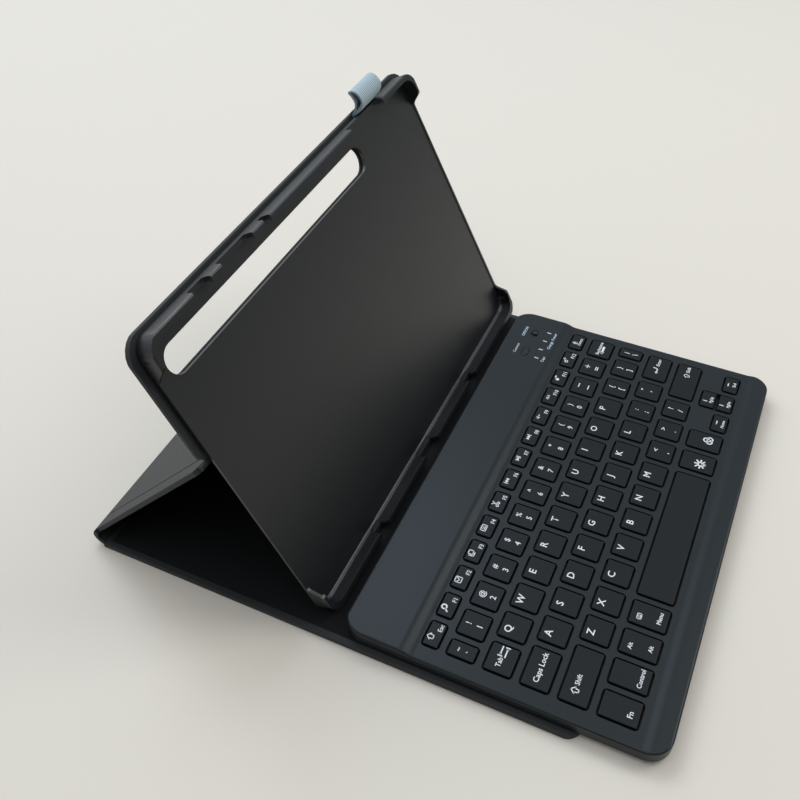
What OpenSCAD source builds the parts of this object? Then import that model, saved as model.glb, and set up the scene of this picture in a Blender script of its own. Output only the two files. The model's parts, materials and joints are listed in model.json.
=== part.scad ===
// Folding keyboard case for a tablet: a leather-covered cover that stands up, a moulded tray that
// holds the tablet, and a thin wireless keyboard that lies on the cover's base and lifts off.
// +X runs right along the key rows, +Y to the rear, +Z up. The origin is on the table, at the
// middle of the base's footprint. The cover is open at its working angle.

/* [Cover] */
// Leather that stands past the tray on each side
cover_side = 3.8; // [3:0.1:6]
// Depth of the base on the table, with the rear fold
base_d = 268; // [260:0.5:285]
// Thickness of the outer leather
leather_t = 0.9; // [0.7:0.1:1.2]
// Thickness of the stiffener boards
board_t = 1.2; // [0.8:0.1:1.6]
// Thickness of the lining
lining_t = 0.7; // [0.5:0.1:1]
// Width of the leather turned over the board's edges
turned_edge = 3.5; // [2.5:0.5:6]
// Rounding of the panels' edges
edge_r = 0.7; // [0.4:0.1:0.9]
// Corner radius at the base's front
base_corner_r = 8; // [5:0.5:14]
// Outer radius of the rear fold
rear_fold_r = 6; // [4.5:0.5:8]
// Corner radius at the back panel's top
back_corner_r = 12; // [6:0.5:16]
// Corner radius at the back panel's lower edge
back_low_corner_r = 6; // [2:0.5:10]
// Leather that stands past the tray's top edge
back_top_margin = 2; // [0.5:0.1:3]
// Depth of the pressed border line in the leather
border_depth = 0.3; // [0.2:0.05:0.5]
// Width of the pressed border line
border_w = 0.8; // [0.5:0.1:1.5]
// Distance of the border line from the panel's sides
border_inset = 10; // [8:0.5:14]

/* [Stand] */
// Angle of the tray from the table
tilt = 63.5; // [62:0.5:66]
// Height of the mid fold along the tray's back
fold_h = 107.5; // [105:0.5:109]
// Gap between the tray's lower edge and the base
tray_gap = 0.3; // [0.2:0.1:1]
// Distance from the keyboard's rear edge back to the tray's lower edge
stand_gap = 11.4; // [9:0.1:16]
// Sideways drift of the stand from one fold to the next
stand_drift = 2.7; // [0:0.1:3]

/* [Tray] */
// Width of the tablet
tablet_w = 253.8; // [252:0.1:255]
// Height of the tablet
tablet_h = 165.3; // [164:0.1:167]
// Thickness of the tablet
tablet_t = 6.3; // [5.5:0.1:7]
// Room round the tablet
tablet_gap = 0.2; // [0.1:0.05:0.4]
// Thickness of the adhesive that holds the tray to the back panel
glue_t = 0.4; // [0.2:0.1:0.6]
// Thickness of the tray's back
tray_t = 1.8; // [1.4:0.1:2.2]
// Thickness of the rim on the long sides
rim_long_t = 2.4; // [1.4:0.1:2.8]
// Thickness of the guards on the short sides
rim_short_t = 1.6; // [1.2:0.1:2]
// Overhang of the rim's lip over the tablet
lip_in = 0.8; // [0.4:0.1:1.2]
// Thickness of the lip
lip_t = 1.1; // [0.8:0.1:1.5]
// Radius of the tray's corners
tray_corner_r = 10; // [8:0.5:13]
// Length of the corner guards along the short sides
guard_l = 13; // [11:0.5:18]
// Length over which a guard runs out
guard_run = 8; // [6:0.5:12]
// Height of the edge between the guards
edge_lip = 0.4; // [0.3:0.1:0.8]
// Rounding of the tray's outer edges
tray_edge_r = 1.2; // [0.6:0.1:1.5]
// Height of the rim at its openings
rim_low = 2.5; // [1.5:0.1:4]
// Distance of the plug's opening to the right of the tray's middle
plug_off = -8.8; // [-12:0.1:8]
// Width of the plug's opening
plug_w = 14.7; // [13:0.1:20]
// Distance of the left speaker's opening from the tray's left side
speaker_left = 57.5; // [50:0.5:66]
// Distance of the right speaker's opening from the tray's right side
speaker_right = 74.9; // [60:0.1:80]
// Width of the speakers' openings
speaker_w = 6.5; // [5:0.5:12]
// Distance of the power button's opening from the tray's left side
power_x = 42; // [38:0.5:43]
// Width of the power button's opening
power_w = 10.7; // [9:0.1:11]
// Distance of the volume buttons' opening from the tray's left side
volume_x = 70.4; // [70:0.1:73]
// Width of the volume buttons' opening
volume_w = 23.4; // [20:0.2:24]
// Distance of the microphone's opening from the tray's left side
mic_x = 96; // [94:0.5:104]
// Width of the microphone's opening
mic_w = 3; // [2:0.1:5]
// Length over which an opening in the rim runs out at each end
cut_run = 1.5; // [0.8:0.1:2]
// Width of the camera and pen slot
slot_w = 14.8; // [12:0.2:16]
// Distance of the slot's left end from the tray's left side
slot_left = 8.4; // [7:0.2:20]
// Distance of the slot's right end from the tray's right side
slot_right = 65.2; // [58:0.2:88]
// Distance of the slot's middle from the tray's upper edge
slot_top = 18.3; // [17.5:0.1:22]

/* [Pen loop] */
// Width of the elastic band
loop_w = 23; // [18:0.5:28]
// Height of the loop above the tray's upper edge
loop_h = 13.6; // [11:0.2:16]
// Distance that the loop stands out from the tray's floor
loop_bulge = 7.9; // [6:0.1:10]
// Thickness of the elastic
loop_t = 0.9; // [0.6:0.1:1]
// Distance of the loop's middle from the tray's right side
loop_right = 44.4; // [36:0.2:47]
// Distance of the notch in the rim by the loop from the tray's right side
loop_notch_right = 56.2; // [47:0.2:57]
// Width of the notch in the rim by the loop
loop_notch_w = 34; // [32:0.5:38]

/* [Keyboard] */
// Room between the keyboard's side and the cover's side
kb_side = 3.6; // [1:0.1:4.5]
// Depth of the keyboard
kb_d = 160; // [158:0.2:164]
// Distance of the keyboard's front edge ahead of the base
kb_overhang = 38.5; // [34:0.5:42]
// Sideways place of the keyboard on the base
kb_shift = 0; // [-2:0.1:2]
// Corner radius of the keyboard
kb_corner_r = 11; // [8:0.5:14]
// Thickness of the keyboard at the key field
kb_t = 6.4; // [6:0.1:7.2]
// Thickness of the bottom case
kb_floor_t = 2; // [1.6:0.1:2.3]
// Thickness of the top case over the keys' mechanism
kb_roof_t = 1.4; // [1.1:0.1:1.6]
// Thickness of the keyboard's side walls
kb_wall = 1.8; // [1.4:0.1:2.4]
// Rounding of the keyboard's upper edge
kb_edge_r = 1.2; // [0.6:0.1:1.8]
// Height of the rear bar above the key field
bar_rise = 1.8; // [1:0.1:2.4]
// Depth of the rear bar
bar_d = 30.5; // [28:0.5:31.5]
// Depth of the slope down from the rear bar
bar_slope = 8; // [5:0.5:8.5]
// Height of the front strip above the key field
palm_rise = 0.8; // [0.3:0.1:1.2]
// Depth of the front strip
palm_d = 7; // [4:0.5:8]
// Depth of the slope behind the front strip
palm_slope = 7; // [4:0.5:8]
// Height of the rubber feet
foot_h = 0.6; // [0.4:0.1:1]
// Radius of the rubber feet
foot_r = 4; // [3:0.5:5]

/* [Keys] */
// Distance of the keys from the keyboard's left side
keys_left = 8.7; // [8:0.1:9.5]
// Distance of the keys from the keyboard's right side
keys_right = 7.1; // [6.5:0.1:9]
// Distance of the keys from the keyboard's front
keys_front = 16.4; // [16:0.1:17]
// Distance of the keys from the slope of the rear bar
keys_rear = 0.8; // [0.8:0.1:1.6]
// Sideways space between two keycaps
key_gap_x = 3.8; // [3.4:0.1:4.2]
// Front-to-back space between two keycaps
key_gap_y = 4.4; // [4:0.1:4.8]
// Room round a keycap in its well
key_play = 0.7; // [0.4:0.05:0.9]
// Depth of the function keys
fn_row_d = 8.2; // [7.8:0.1:8.6]
// Depth of the front row's keys
space_row_d = 18.5; // [18:0.1:18.8]
// Width of the narrow key at the left of the digits
grave_w = 8.5; // [8:0.1:9]
// Width of the key at the right of the digits
backspace_w = 15; // [14.4:0.1:15.6]
// Width of the key at the left of the second character row
tab_w = 15.4; // [15:0.1:16]
// Width of the narrow key at the right of the second character row
backslash_w = 8.2; // [7.8:0.1:9]
// Width of the key at the left of the third character row
caps_w = 21.2; // [20.5:0.1:22]
// Width of the key at the right of the third character row
enter_w = 20.9; // [20:0.1:21.5]
// Width of the key at the left of the fourth character row
left_shift_w = 30; // [29:0.1:31]
// Width of the key at the right of the fourth character row
right_shift_w = 29.8; // [29:0.1:31]
// Width of the small keys in the front row
small_key_w = 13.5; // [13:0.1:13.8]
// Space between the up and down keys
arrow_gap = 1.6; // [1.2:0.1:2]
// Travel of a key
key_travel = 1.5; // [1.2:0.1:1.6]
// Wall of a keycap
cap_wall = 0.9; // [0.7:0.1:1.1]
// Height of the keycaps above the key field
cap_rise = 0.6; // [0.3:0.1:1]
// Corner radius of a keycap
cap_r = 1.5; // [1:0.1:2]
// Inward lean of a keycap's sides
cap_draft = 0.3; // [0.1:0.05:0.5]

/* [Switches and lights] */
// Distance of the power switch from the keyboard's right side
switch_right = 18.4; // [16:0.2:22]
// Distance of the switch and button from the keyboard's rear edge
control_rear = 16.4; // [14:0.2:20]
// Radius of the switch's round thumb piece
knob_r = 1.9; // [1.5:0.1:2.1]
// Travel of the power switch
switch_travel = 2.5; // [2:0.1:3.2]
// Distance of the button from the keyboard's right side
button_right = 36.8; // [34:0.2:40]
// Length of the button
button_l = 8; // [6:0.2:9]
// Width of the button
button_w = 4; // [3:0.1:4.6]
// Room round the switch and the button
control_play = 0.25; // [0.15:0.05:0.35]
// Distance of the lights from the keyboard's right side
light_right = 14.6; // [13:0.1:17]
// Distance of the lights from the keyboard's rear edge
light_rear = 24.7; // [24:0.1:26]
// Spacing of the lights
light_pitch = 8.35; // [7.5:0.05:9]
// Length of a light
light_l = 2.6; // [2:0.1:3.2]
// Width of a light
light_w = 0.8; // [0.6:0.1:1.2]

/* [Hidden] */

eps = 0.01;
arc_steps = 6;
small_steps = 3;
panel_t = leather_t + board_t + lining_t;

// Rear fold: the leather bends round this axis, from the base up into the kickstand
fold_y = base_d / 2 - rear_fold_r;
fold_z = rear_fold_r;
flat_d = base_d - rear_fold_r;

// Tray: sizes in its own plane, x across, s up from its lower edge, n out of its floor
pocket_w = tablet_w + 2 * tablet_gap;
pocket_h = tablet_h + 2 * tablet_gap;
tray_w = pocket_w + 2 * rim_short_t;
tray_h = pocket_h + 2 * rim_long_t;
rim_h = tablet_t + tablet_gap + lip_t;
slot_l = tray_w - slot_left - slot_right;
loop_x = tray_w - loop_right;
cover_w = tray_w + 2 * cover_side;
back_l = tray_h + back_top_margin - fold_h;

// Keyboard: places on it are measured from its front left corner, k_x and k_y
kb_w = cover_w - 2 * kb_side;
k_x = kb_shift - kb_w / 2;
k_y = -base_d / 2 - kb_overhang;

// Mid fold: its axis lies in the outer faces of the kickstand and the back panel,
// and the kickstand reaches it from the rear fold
mid_y = k_y + kb_d + stand_gap + fold_h * cos(tilt) + (panel_t + glue_t + tray_t) * sin(tilt);
mid_z = panel_t + tray_gap + fold_h * sin(tilt) - (panel_t + glue_t) * cos(tilt);
kick_reach = norm([fold_y - mid_y, mid_z - fold_z]);
kick_l = sqrt(kick_reach ^ 2 - rear_fold_r ^ 2);
kick_angle = atan2(mid_z - fold_z, fold_y - mid_y) - atan2(rear_fold_r, kick_l);
mid_turn = 180 - tilt - kick_angle;
k_z = panel_t + foot_h;
field_z = k_z + kb_t;
bar_z = field_z + bar_rise;
palm_z = field_z + palm_rise;
floor_z = k_z + kb_floor_t;
roof_z = field_z - kb_roof_t;
cap_top = field_z + cap_rise;
bar_y = kb_d - bar_d;
switch_x = kb_w - switch_right;
button_x = kb_w - button_right;
control_y = kb_d - control_rear;
lens_x = kb_w - light_right;
light_y = kb_d - light_rear;
slope_steps = 8;

// Mechanism under the keys, from the bottom case up
plate_t = 0.5;
plate_y0 = 13;
plate_margin = 1;
sheet_t = 0.2;
dome_r = 2.2;
dome_top_r = 1.3;
sheet_z = floor_z + plate_t;
dome_z = sheet_z + sheet_t;
ear_t = 0.5;
ear_over = 0.4;
cap_z = roof_z - ear_t;
cap_h = cap_top - cap_z;
cap_chamfer = 0.25;
dome_clear = 0.1;
dome_top = cap_top - cap_wall - key_travel - dome_clear;
well_r = cap_r + key_play;

// Screws and the bosses that they go into
boss_r = 2.2;
boss_inset = 9;
screw_r = 0.8;
screw_head_r = 1.7;
screw_head_h = 0.9;
screw_l = 3.6;
seam = 0.1;

// Rear bar: it is hollow for the battery and the circuit board
bar_roof_z = bar_z - kb_roof_t;
bar_front = bar_y + 1;
bar_back = kb_d - kb_wall;
board_l = 92;
board_w = 19;
board_right = 15.8;
board_x = kb_w - board_right - board_l;
pcb_t = 1;
pcb_z = floor_z;
battery_w = 18;
battery_t = 3.6;
battery_x = 24;
battery_gap = 30;
battery_l = board_x - battery_gap - battery_x;

// Charging port in the right side of the rear bar
port_w = 9;
port_h = 3.2;
port_l = 7;
port_wall = 0.35;
port_rear = 17;
port_y = kb_d - port_rear;
port_mid_z = pcb_z + pcb_t + port_h / 2;

// Rows of keys: [front edge, depth, width of the first key, width of the last key, keys between]
keys_w = kb_w - keys_left - keys_right;
keys_d = bar_y - bar_slope - keys_rear - keys_front;
key_d = (keys_d - space_row_d - fn_row_d - 5 * key_gap_y) / 4;
row_y = [
    keys_front + space_row_d + 4 * (key_d + key_gap_y) + key_gap_y,
    keys_front + space_row_d + 3 * key_d + 4 * key_gap_y,
    keys_front + space_row_d + 2 * key_d + 3 * key_gap_y,
    keys_front + space_row_d + key_d + 2 * key_gap_y,
    keys_front + space_row_d + key_gap_y,
    keys_front];
fn_key_w = (keys_w + key_gap_x) / 14 - key_gap_x;
ROWS = [
    [row_y[0], fn_row_d, fn_key_w, fn_key_w, 12],
    [row_y[1], key_d, grave_w, backspace_w, 12],
    [row_y[2], key_d, tab_w, backslash_w, 12],
    [row_y[3], key_d, caps_w, enter_w, 11],
    [row_y[4], key_d, left_shift_w, right_shift_w, 10]];
space_w = keys_w - 9 * (small_key_w + key_gap_x);
arrow_d = (space_row_d - arrow_gap) / 2;

// Function rows and character rows: one key as [x, y, width, depth]
function mid_w(row) =
    (keys_w - row[2] - row[3] - (row[4] + 1) * key_gap_x) / row[4];
function row_key(r, i) =
    let (row = ROWS[r], w = mid_w(row), n = row[4])
    i == 0 ? [keys_left, row[0], row[2], row[1]]
    : i == n + 1 ? [keys_left + keys_w - row[3], row[0], row[3], row[1]]
    : [keys_left + row[2] + key_gap_x + (i - 1) * (w + key_gap_x), row[0], w, row[1]];

// Front row: four small keys, the space bar, two small keys and the arrows
small_pitch = small_key_w + key_gap_x;
function front_x(i) = keys_left + i * small_pitch + (i > 4 ? space_w - small_key_w : 0);
function front_key(i) = [front_x(i), keys_front, i == 4 ? space_w : small_key_w, space_row_d];
function arrow_key(i, up) =
    [front_x(7 + i), keys_front + (up ? arrow_d + arrow_gap : 0), small_key_w, arrow_d];

ALL_KEYS = concat(
    [for (r = [0:4]) for (i = [0:ROWS[r][4] + 1]) row_key(r, i)],
    [for (i = [0:6]) front_key(i)],
    [arrow_key(0, false), arrow_key(1, false), arrow_key(1, true), arrow_key(2, false)]);

// Wells in the top case: one for each key, but the up and down keys share theirs
WELLS = concat(
    [for (r = [0:4]) for (i = [0:ROWS[r][4] + 1]) row_key(r, i)],
    [for (i = [0:6]) front_key(i)],
    [arrow_key(0, false), [front_x(8), keys_front, small_key_w, space_row_d], arrow_key(2, false)]);

// Points of an arc about c, from angle a to angle b
function arc(c, r, a, b, steps = arc_steps) =
    [for (i = [0:steps]) let (t = a + (b - a) * i / steps) c + r * [cos(t), sin(t)]];

// Outline of a rectangle centred on the origin, with its own radius at each corner,
// from the lower left one round to the upper left one
function rounded(w, d, r, steps = arc_steps) = concat(
    arc([r[0] - w / 2, r[0] - d / 2], r[0], 180, 270, steps),
    arc([w / 2 - r[1], r[1] - d / 2], r[1], 270, 360, steps),
    arc([w / 2 - r[2], d / 2 - r[2]], r[2], 0, 90, steps),
    arc([r[3] - w / 2, d / 2 - r[3]], r[3], 90, 180, steps));

function all4(r) = [r, r, r, r];

// A smooth step from height a to height b between y0 and y1
function slope(y0, y1, a, b) =
    [for (i = [0:slope_steps]) let (t = i / slope_steps)
        [y0 + (y1 - y0) * t, a + (b - a) * (1 - cos(180 * t)) / 2]];

// A slab of any outline, with its long edges rounded: w across, l along, t thick
module soft_slab(w, l, t, r, e) {
    intersection() {
        linear_extrude(t) polygon(rounded(w, l, r));
        translate([0, l / 2, t / 2])
            rotate([90, 0, 0])
                linear_extrude(l) polygon(rounded(w, t, all4(e)));
        translate([-w / 2, 0, t / 2])
            rotate([90, 0, 90])
                linear_extrude(w) polygon(rounded(l, t, all4(e)));
    }
}

// Leather of a panel lying on its outer face: it wraps the board and leaves the lining bare
module wrapped_leather(w, l, r) {
    inner_r = [for (v = r) max(v - turned_edge, 1)];
    difference() {
        soft_slab(w, l, panel_t, r, edge_r);
        translate([0, 0, leather_t])
            linear_extrude(panel_t) polygon(rounded(w - 2 * turned_edge, l - 2 * turned_edge, inner_r));
        for (side = [-1, 1])
            translate([side * (w / 2 - border_inset) - border_w / 2, turned_edge - l / 2, -eps])
                cube([border_w, l - 2 * turned_edge, border_depth + eps]);
    }
}

// One layer inside the wrapped leather, from z up
module inner_layer(w, l, r, z, t) {
    inner_r = [for (v = r) max(v - turned_edge, 1)];
    translate([0, 0, z])
        linear_extrude(t) polygon(rounded(w - 2 * turned_edge, l - 2 * turned_edge, inner_r));
}

/* Places of the cover's panels */
module at_base() {
    translate([0, -rear_fold_r / 2, 0]) children();
}
module at_kickstand() {
    translate([stand_drift, fold_y, fold_z])
        rotate([180 - kick_angle, 0, 0])
            translate([0, kick_l / 2, -rear_fold_r])
                children();
}
module at_mid_fold() {
    translate([2 * stand_drift, mid_y, mid_z]) children();
}
module at_back_panel() {
    at_mid_fold()
        rotate([tilt, 0, 0])
            translate([0, back_l / 2, 0])
                children();
}
// Tray's own axes: x across, y up along the tray, z out of its floor
module at_tray() {
    at_mid_fold()
        rotate([tilt, 0, 0])
            translate([0, -fold_h, panel_t + glue_t + tray_t])
                children();
}

base_r = [base_corner_r, base_corner_r, 1, 1];
kick_r = [1, 1, back_low_corner_r, back_low_corner_r];
back_r = [back_low_corner_r, back_low_corner_r, back_corner_r, back_corner_r];

// Magnet bars: two rows under the lining, and two in the keyboard above them
magnet_l = 60;
magnet_w = 8;
magnet_t = 1;
magnet_x = 75;
magnet_rear = 32.5;
magnet_pitch = 35;
magnet_rows = [for (i = [0, 1]) k_y + kb_d - magnet_rear - i * magnet_pitch];
module magnet_bars(z, room = 0) {
    for (x = [-1, 1])
        for (y = magnet_rows)
            translate([x * magnet_x - magnet_l / 2 - room, y - magnet_w / 2 - room, z])
                cube([magnet_l + 2 * room, magnet_w + 2 * room, magnet_t + 2 * room]);
}

module base_outer_leather() {
    color("#3a3e42")
        at_base() wrapped_leather(cover_w, flat_d, base_r);
}
module base_board() {
    color("#8a7f6c")
        difference() {
            at_base() inner_layer(cover_w, flat_d, base_r, leather_t, board_t);
            magnet_bars(leather_t + board_t - magnet_t);
        }
}
module base_magnets() {
    color("#9a9da0") magnet_bars(leather_t + board_t - magnet_t);
}
module base_lining() {
    color("#35393d")
        at_base() inner_layer(cover_w, flat_d, base_r, leather_t + board_t, lining_t);
}

// Soft bend from the base's rear edge up to the kickstand
module rear_fold_leather() {
    color("#33373b")
        translate([(stand_drift - cover_w) / 2, fold_y, fold_z])
            rotate([90, 0, 90])
                rotate([0, 0, -90])
                    rotate_extrude(angle = 180 - kick_angle, $fn = 48)
                        translate([rear_fold_r - panel_t, 0])
                            square([panel_t, cover_w]);
}

module kickstand_outer_leather() {
    color("#585654")
        at_kickstand() wrapped_leather(cover_w, kick_l, kick_r);
}
module kickstand_board() {
    color("#8a7f6c")
        at_kickstand() inner_layer(cover_w, kick_l, kick_r, leather_t, board_t);
}
module kickstand_lining() {
    color("#35393d")
        at_kickstand() inner_layer(cover_w, kick_l, kick_r, leather_t + board_t, lining_t);
}

// Wedge of leather and lining between the kickstand and the back panel
module mid_fold_leather() {
    color("#33373b")
        translate([-(stand_drift + cover_w) / 2, 0, 0])
            at_mid_fold()
                rotate([90, 0, 90])
                    rotate([0, 0, tilt + 90])
                        rotate_extrude(angle = mid_turn, $fn = 48)
                            square([panel_t, cover_w]);
}

// The slot runs through the tray and the back panel, for the camera and the pen
module slot_cut(grow, h) {
    half = slot_l / 2 - slot_w / 2;
    translate([slot_left + slot_l / 2 - tray_w / 2, tray_h - slot_top, 0])
        linear_extrude(h, center = true)
            polygon(concat(
                arc([half, 0], slot_w / 2 + grow, -90, 90, 2 * arc_steps),
                arc([-half, 0], slot_w / 2 + grow, 90, 270, 2 * arc_steps)));
}

// Place of the elastic's two sewn ends, between the tray's back and the back panel
loop_tab = 11;
module loop_pocket() {
    translate([loop_x - tray_w / 2 - loop_w / 2, tray_h - loop_tab, -tray_t - 2 * loop_t])
        cube([loop_w, loop_tab + back_top_margin + eps, 2 * loop_t + eps]);
}

slot_room = 0.4;
module back_panel_leather() {
    color("#3a3e42")
        difference() {
            at_back_panel() wrapped_leather(cover_w, back_l, back_r);
            at_tray() slot_cut(slot_room, 4 * panel_t);
            at_tray() loop_pocket();
        }
}
// The board fills the leather up to the adhesive
module back_panel_board() {
    color("#8a7f6c")
        difference() {
            at_back_panel() inner_layer(cover_w, back_l, back_r, leather_t, board_t + lining_t);
            at_tray() slot_cut(slot_room, 4 * panel_t);
            at_tray() loop_pocket();
        }
}
glue_inset = 6;
module adhesive_sheet() {
    glue_l = back_l - 3 * glue_inset;
    color("#c9c6bb")
        difference() {
            at_tray()
                translate([0, tray_h - glue_inset - glue_l / 2, -tray_t - glue_t])
                    linear_extrude(glue_t)
                        polygon(rounded(tray_w - 2 * glue_inset, glue_l, all4(tray_corner_r)));
            at_tray() slot_cut(slot_room, 4 * panel_t);
            at_tray() loop_pocket();
        }
}

// A cut through the rim's long wall at s: w wide about x, down to rim_low, with soft run-outs
module rim_cut(x, w, s) {
    translate([x - tray_w / 2, s + 2 * rim_long_t, 0])
        rotate([90, 0, 0])
            linear_extrude(3 * rim_long_t + lip_in + eps)
                polygon(concat(
                    slope(-w / 2 - cut_run, -w / 2, rim_h + eps, rim_low),
                    slope(w / 2, w / 2 + cut_run, rim_low, rim_h + eps),
                    [[w / 2 + cut_run, 2 * rim_h], [-w / 2 - cut_run, 2 * rim_h]]));
}

// Moulded tray: corner guards stand at its four corners, and its short sides are open between them
module tablet_tray() {
    pocket_z = tablet_t + tablet_gap;
    pocket_r = tray_corner_r - rim_short_t;
    side_0 = guard_l + guard_run;
    side_1 = tray_h - guard_l - guard_run;
    color("#2d2d2c")
        at_tray()
            difference() {
                translate([0, tray_h / 2, -tray_t])
                    soft_slab(tray_w, tray_h, tray_t + rim_h, all4(tray_corner_r), tray_edge_r);
                translate([0, tray_h / 2, 0])
                    linear_extrude(pocket_z)
                        polygon(rounded(pocket_w, pocket_h, all4(pocket_r)));
                translate([0, tray_h / 2, 0])
                    linear_extrude(2 * rim_h)
                        polygon(rounded(pocket_w - 2 * lip_in, pocket_h - 2 * lip_in, all4(pocket_r)));
                // Open short sides, with a smooth run-out at each guard
                translate([-tray_w, 0, 0])
                    rotate([90, 0, 90])
                        linear_extrude(2 * tray_w)
                            polygon(concat(
                                slope(guard_l, side_0, rim_h + eps, edge_lip),
                                slope(side_1, tray_h - guard_l, edge_lip, rim_h + eps),
                                [[tray_h - guard_l, 2 * rim_h], [guard_l, 2 * rim_h]]));
                // Openings in the lower rim for the tablet's plug and speakers
                rim_cut(tray_w / 2 + plug_off, plug_w, 0);
                rim_cut(speaker_left, speaker_w, 0);
                rim_cut(tray_w - speaker_right, speaker_w, 0);
                // Openings in the upper rim for the tablet's buttons and the elastic
                rim_cut(power_x, power_w, tray_h);
                rim_cut(volume_x, volume_w, tray_h);
                rim_cut(mic_x, mic_w, tray_h);
                rim_cut(tray_w - loop_notch_right, loop_notch_w, tray_h);
                slot_cut(0, 4 * tray_t);
            }
}

// A smooth line through points, with a few steps between each two
function between(a, b, c, d, t) =
    (2 * b + (c - a) * t + (2 * a - 5 * b + 4 * c - d) * t ^ 2 + (3 * b - a - 3 * c + d) * t ^ 3) / 2;
function smooth_line(p, steps = 4) =
    let (n = len(p) - 1)
    concat(
        [for (i = [0:n - 1]) for (k = [0:steps - 1])
            between(p[max(i - 1, 0)], p[i], p[i + 1], p[min(i + 2, n)], k / steps)],
        [p[n]]);

// Elastic loop: a flattened band that leans towards the tablet, seen along X.
// Its points are shares of its height and of its bulge, from the tray's upper edge.
LOOP_OUTER = [
    [0.012, -0.23], [0.11, 0.42], [0.35, 0.89], [0.56, 1], [0.79, 0.9], [0.95, 0.67],
    [1, 0.4], [0.95, 0.2], [0.75, 0.31], [0.5, 0.34], [0.28, 0.11], [0.1, -0.3]];
LOOP_INNER = [
    [0.2, 0.24], [0.38, 0.75], [0.56, 0.87], [0.76, 0.78], [0.89, 0.58], [0.92, 0.42],
    [0.76, 0.44], [0.49, 0.47], [0.26, 0.26]];
module pen_loop() {
    scaled = [[loop_h, 0], [0, loop_bulge]];
    tab_n = -tray_t - 2 * loop_t;
    color("#b0c1c8")
        at_tray()
            translate([loop_x - tray_w / 2 - loop_w / 2, 0, 0])
                rotate([90, 0, 90])
                    linear_extrude(loop_w)
                        translate([tray_h, 0])
                            difference() {
                                polygon(concat(
                                    [[-loop_tab, tab_n], [-loop_tab, -tray_t], [eps, -tray_t]],
                                    [for (p = smooth_line(LOOP_OUTER)) p * scaled],
                                    [[2 * eps, tab_n]]));
                                polygon([for (p = smooth_line(concat(LOOP_INNER, [LOOP_INNER[0]])))
                                    p * scaled]);
                            }
}

/* Keyboard: everything below is placed from its front left corner */
module at_keyboard() {
    translate([k_x, k_y, 0]) children();
}

// Height of the top case's surface at depth y, and its half width there
function edge_drop(y) = y >= kb_edge_r ? 0 : kb_edge_r - sqrt(kb_edge_r ^ 2 - (kb_edge_r - y) ^ 2);
function step(y, y0, y1) = y <= y0 ? 0 : y >= y1 ? 1 : (1 - cos(180 * (y - y0) / (y1 - y0))) / 2;
function top_z(y) =
    field_z + bar_rise * step(y, bar_y - bar_slope, bar_y)
    + palm_rise * (1 - step(y, palm_d, palm_d + palm_slope))
    - edge_drop(min(y, kb_d - y));
function half_w(y) =
    let (e = min(y, kb_d - y), r = kb_corner_r)
    kb_w / 2 - (e >= r ? 0 : r - sqrt(r ^ 2 - (r - e) ^ 2));

// One cross-section of the case, at depth y
function section(y) =
    let (w = half_w(y), z = top_z(y), r = kb_edge_r)
    concat(
        [[-w, y, k_z], [w, y, k_z]],
        [for (p = arc([w - r, z - r], r, 0, 90)) [p[0], y, p[1]]],
        [for (p = arc([r - w, z - r], r, 90, 180)) [p[0], y, p[1]]]);

corner_ys = [for (i = [0:2 * arc_steps]) kb_corner_r * (1 - cos(45 * i / arc_steps))];
STATIONS = concat(
    corner_ys,
    [for (p = slope(palm_d, palm_d + palm_slope, 0, 0)) if (p[0] > kb_corner_r + eps) p[0]],
    [for (p = slope(bar_y - bar_slope, bar_y, 0, 0)) p[0]],
    [for (i = [2 * arc_steps:-1:0]) kb_d - corner_ys[i]]);

// Solid block of the case: its cross-sections joined one to the next
module case_block() {
    n = len(section(0));
    points = [for (y = STATIONS) each section(y)];
    sides = [for (s = [0:len(STATIONS) - 2]) for (i = [0:n - 1])
        let (a = s * n + i, b = s * n + (i + 1) % n)
        each [[a, b, b + n], [a, b + n, a + n]]];
    front = [for (i = [n - 1:-1:0]) i];
    back = [for (i = [0:n - 1]) (len(STATIONS) - 1) * n + i];
    translate([kb_w / 2, 0, 0])
        polyhedron(points, concat(sides, [front], [back]));
}

module kb_slab(y0, y1, z0, z1, inset, r) {
    translate([kb_w / 2, (y0 + y1) / 2, z0])
        linear_extrude(z1 - z0)
            polygon(rounded(kb_w - 2 * inset, y1 - y0, all4(r)));
}

module at_screws() {
    for (x = [boss_inset, kb_w / 2, kb_w - boss_inset])
        for (y = [boss_inset, kb_d - boss_inset])
            translate([x, y, 0]) children();
}

// A round-ended plate l long and w wide, from z0 to z1
module oblong(l, w, z0, z1) {
    half = (l - w) / 2;
    translate([0, 0, z0])
        linear_extrude(z1 - z0)
            polygon(concat(
                arc([half, 0], w / 2, -90, 90),
                arc([-half, 0], w / 2, 90, 270)));
}

module at_lenses() {
    for (i = [0:3])
        translate([lens_x - i * light_pitch, light_y, 0]) children();
}

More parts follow.
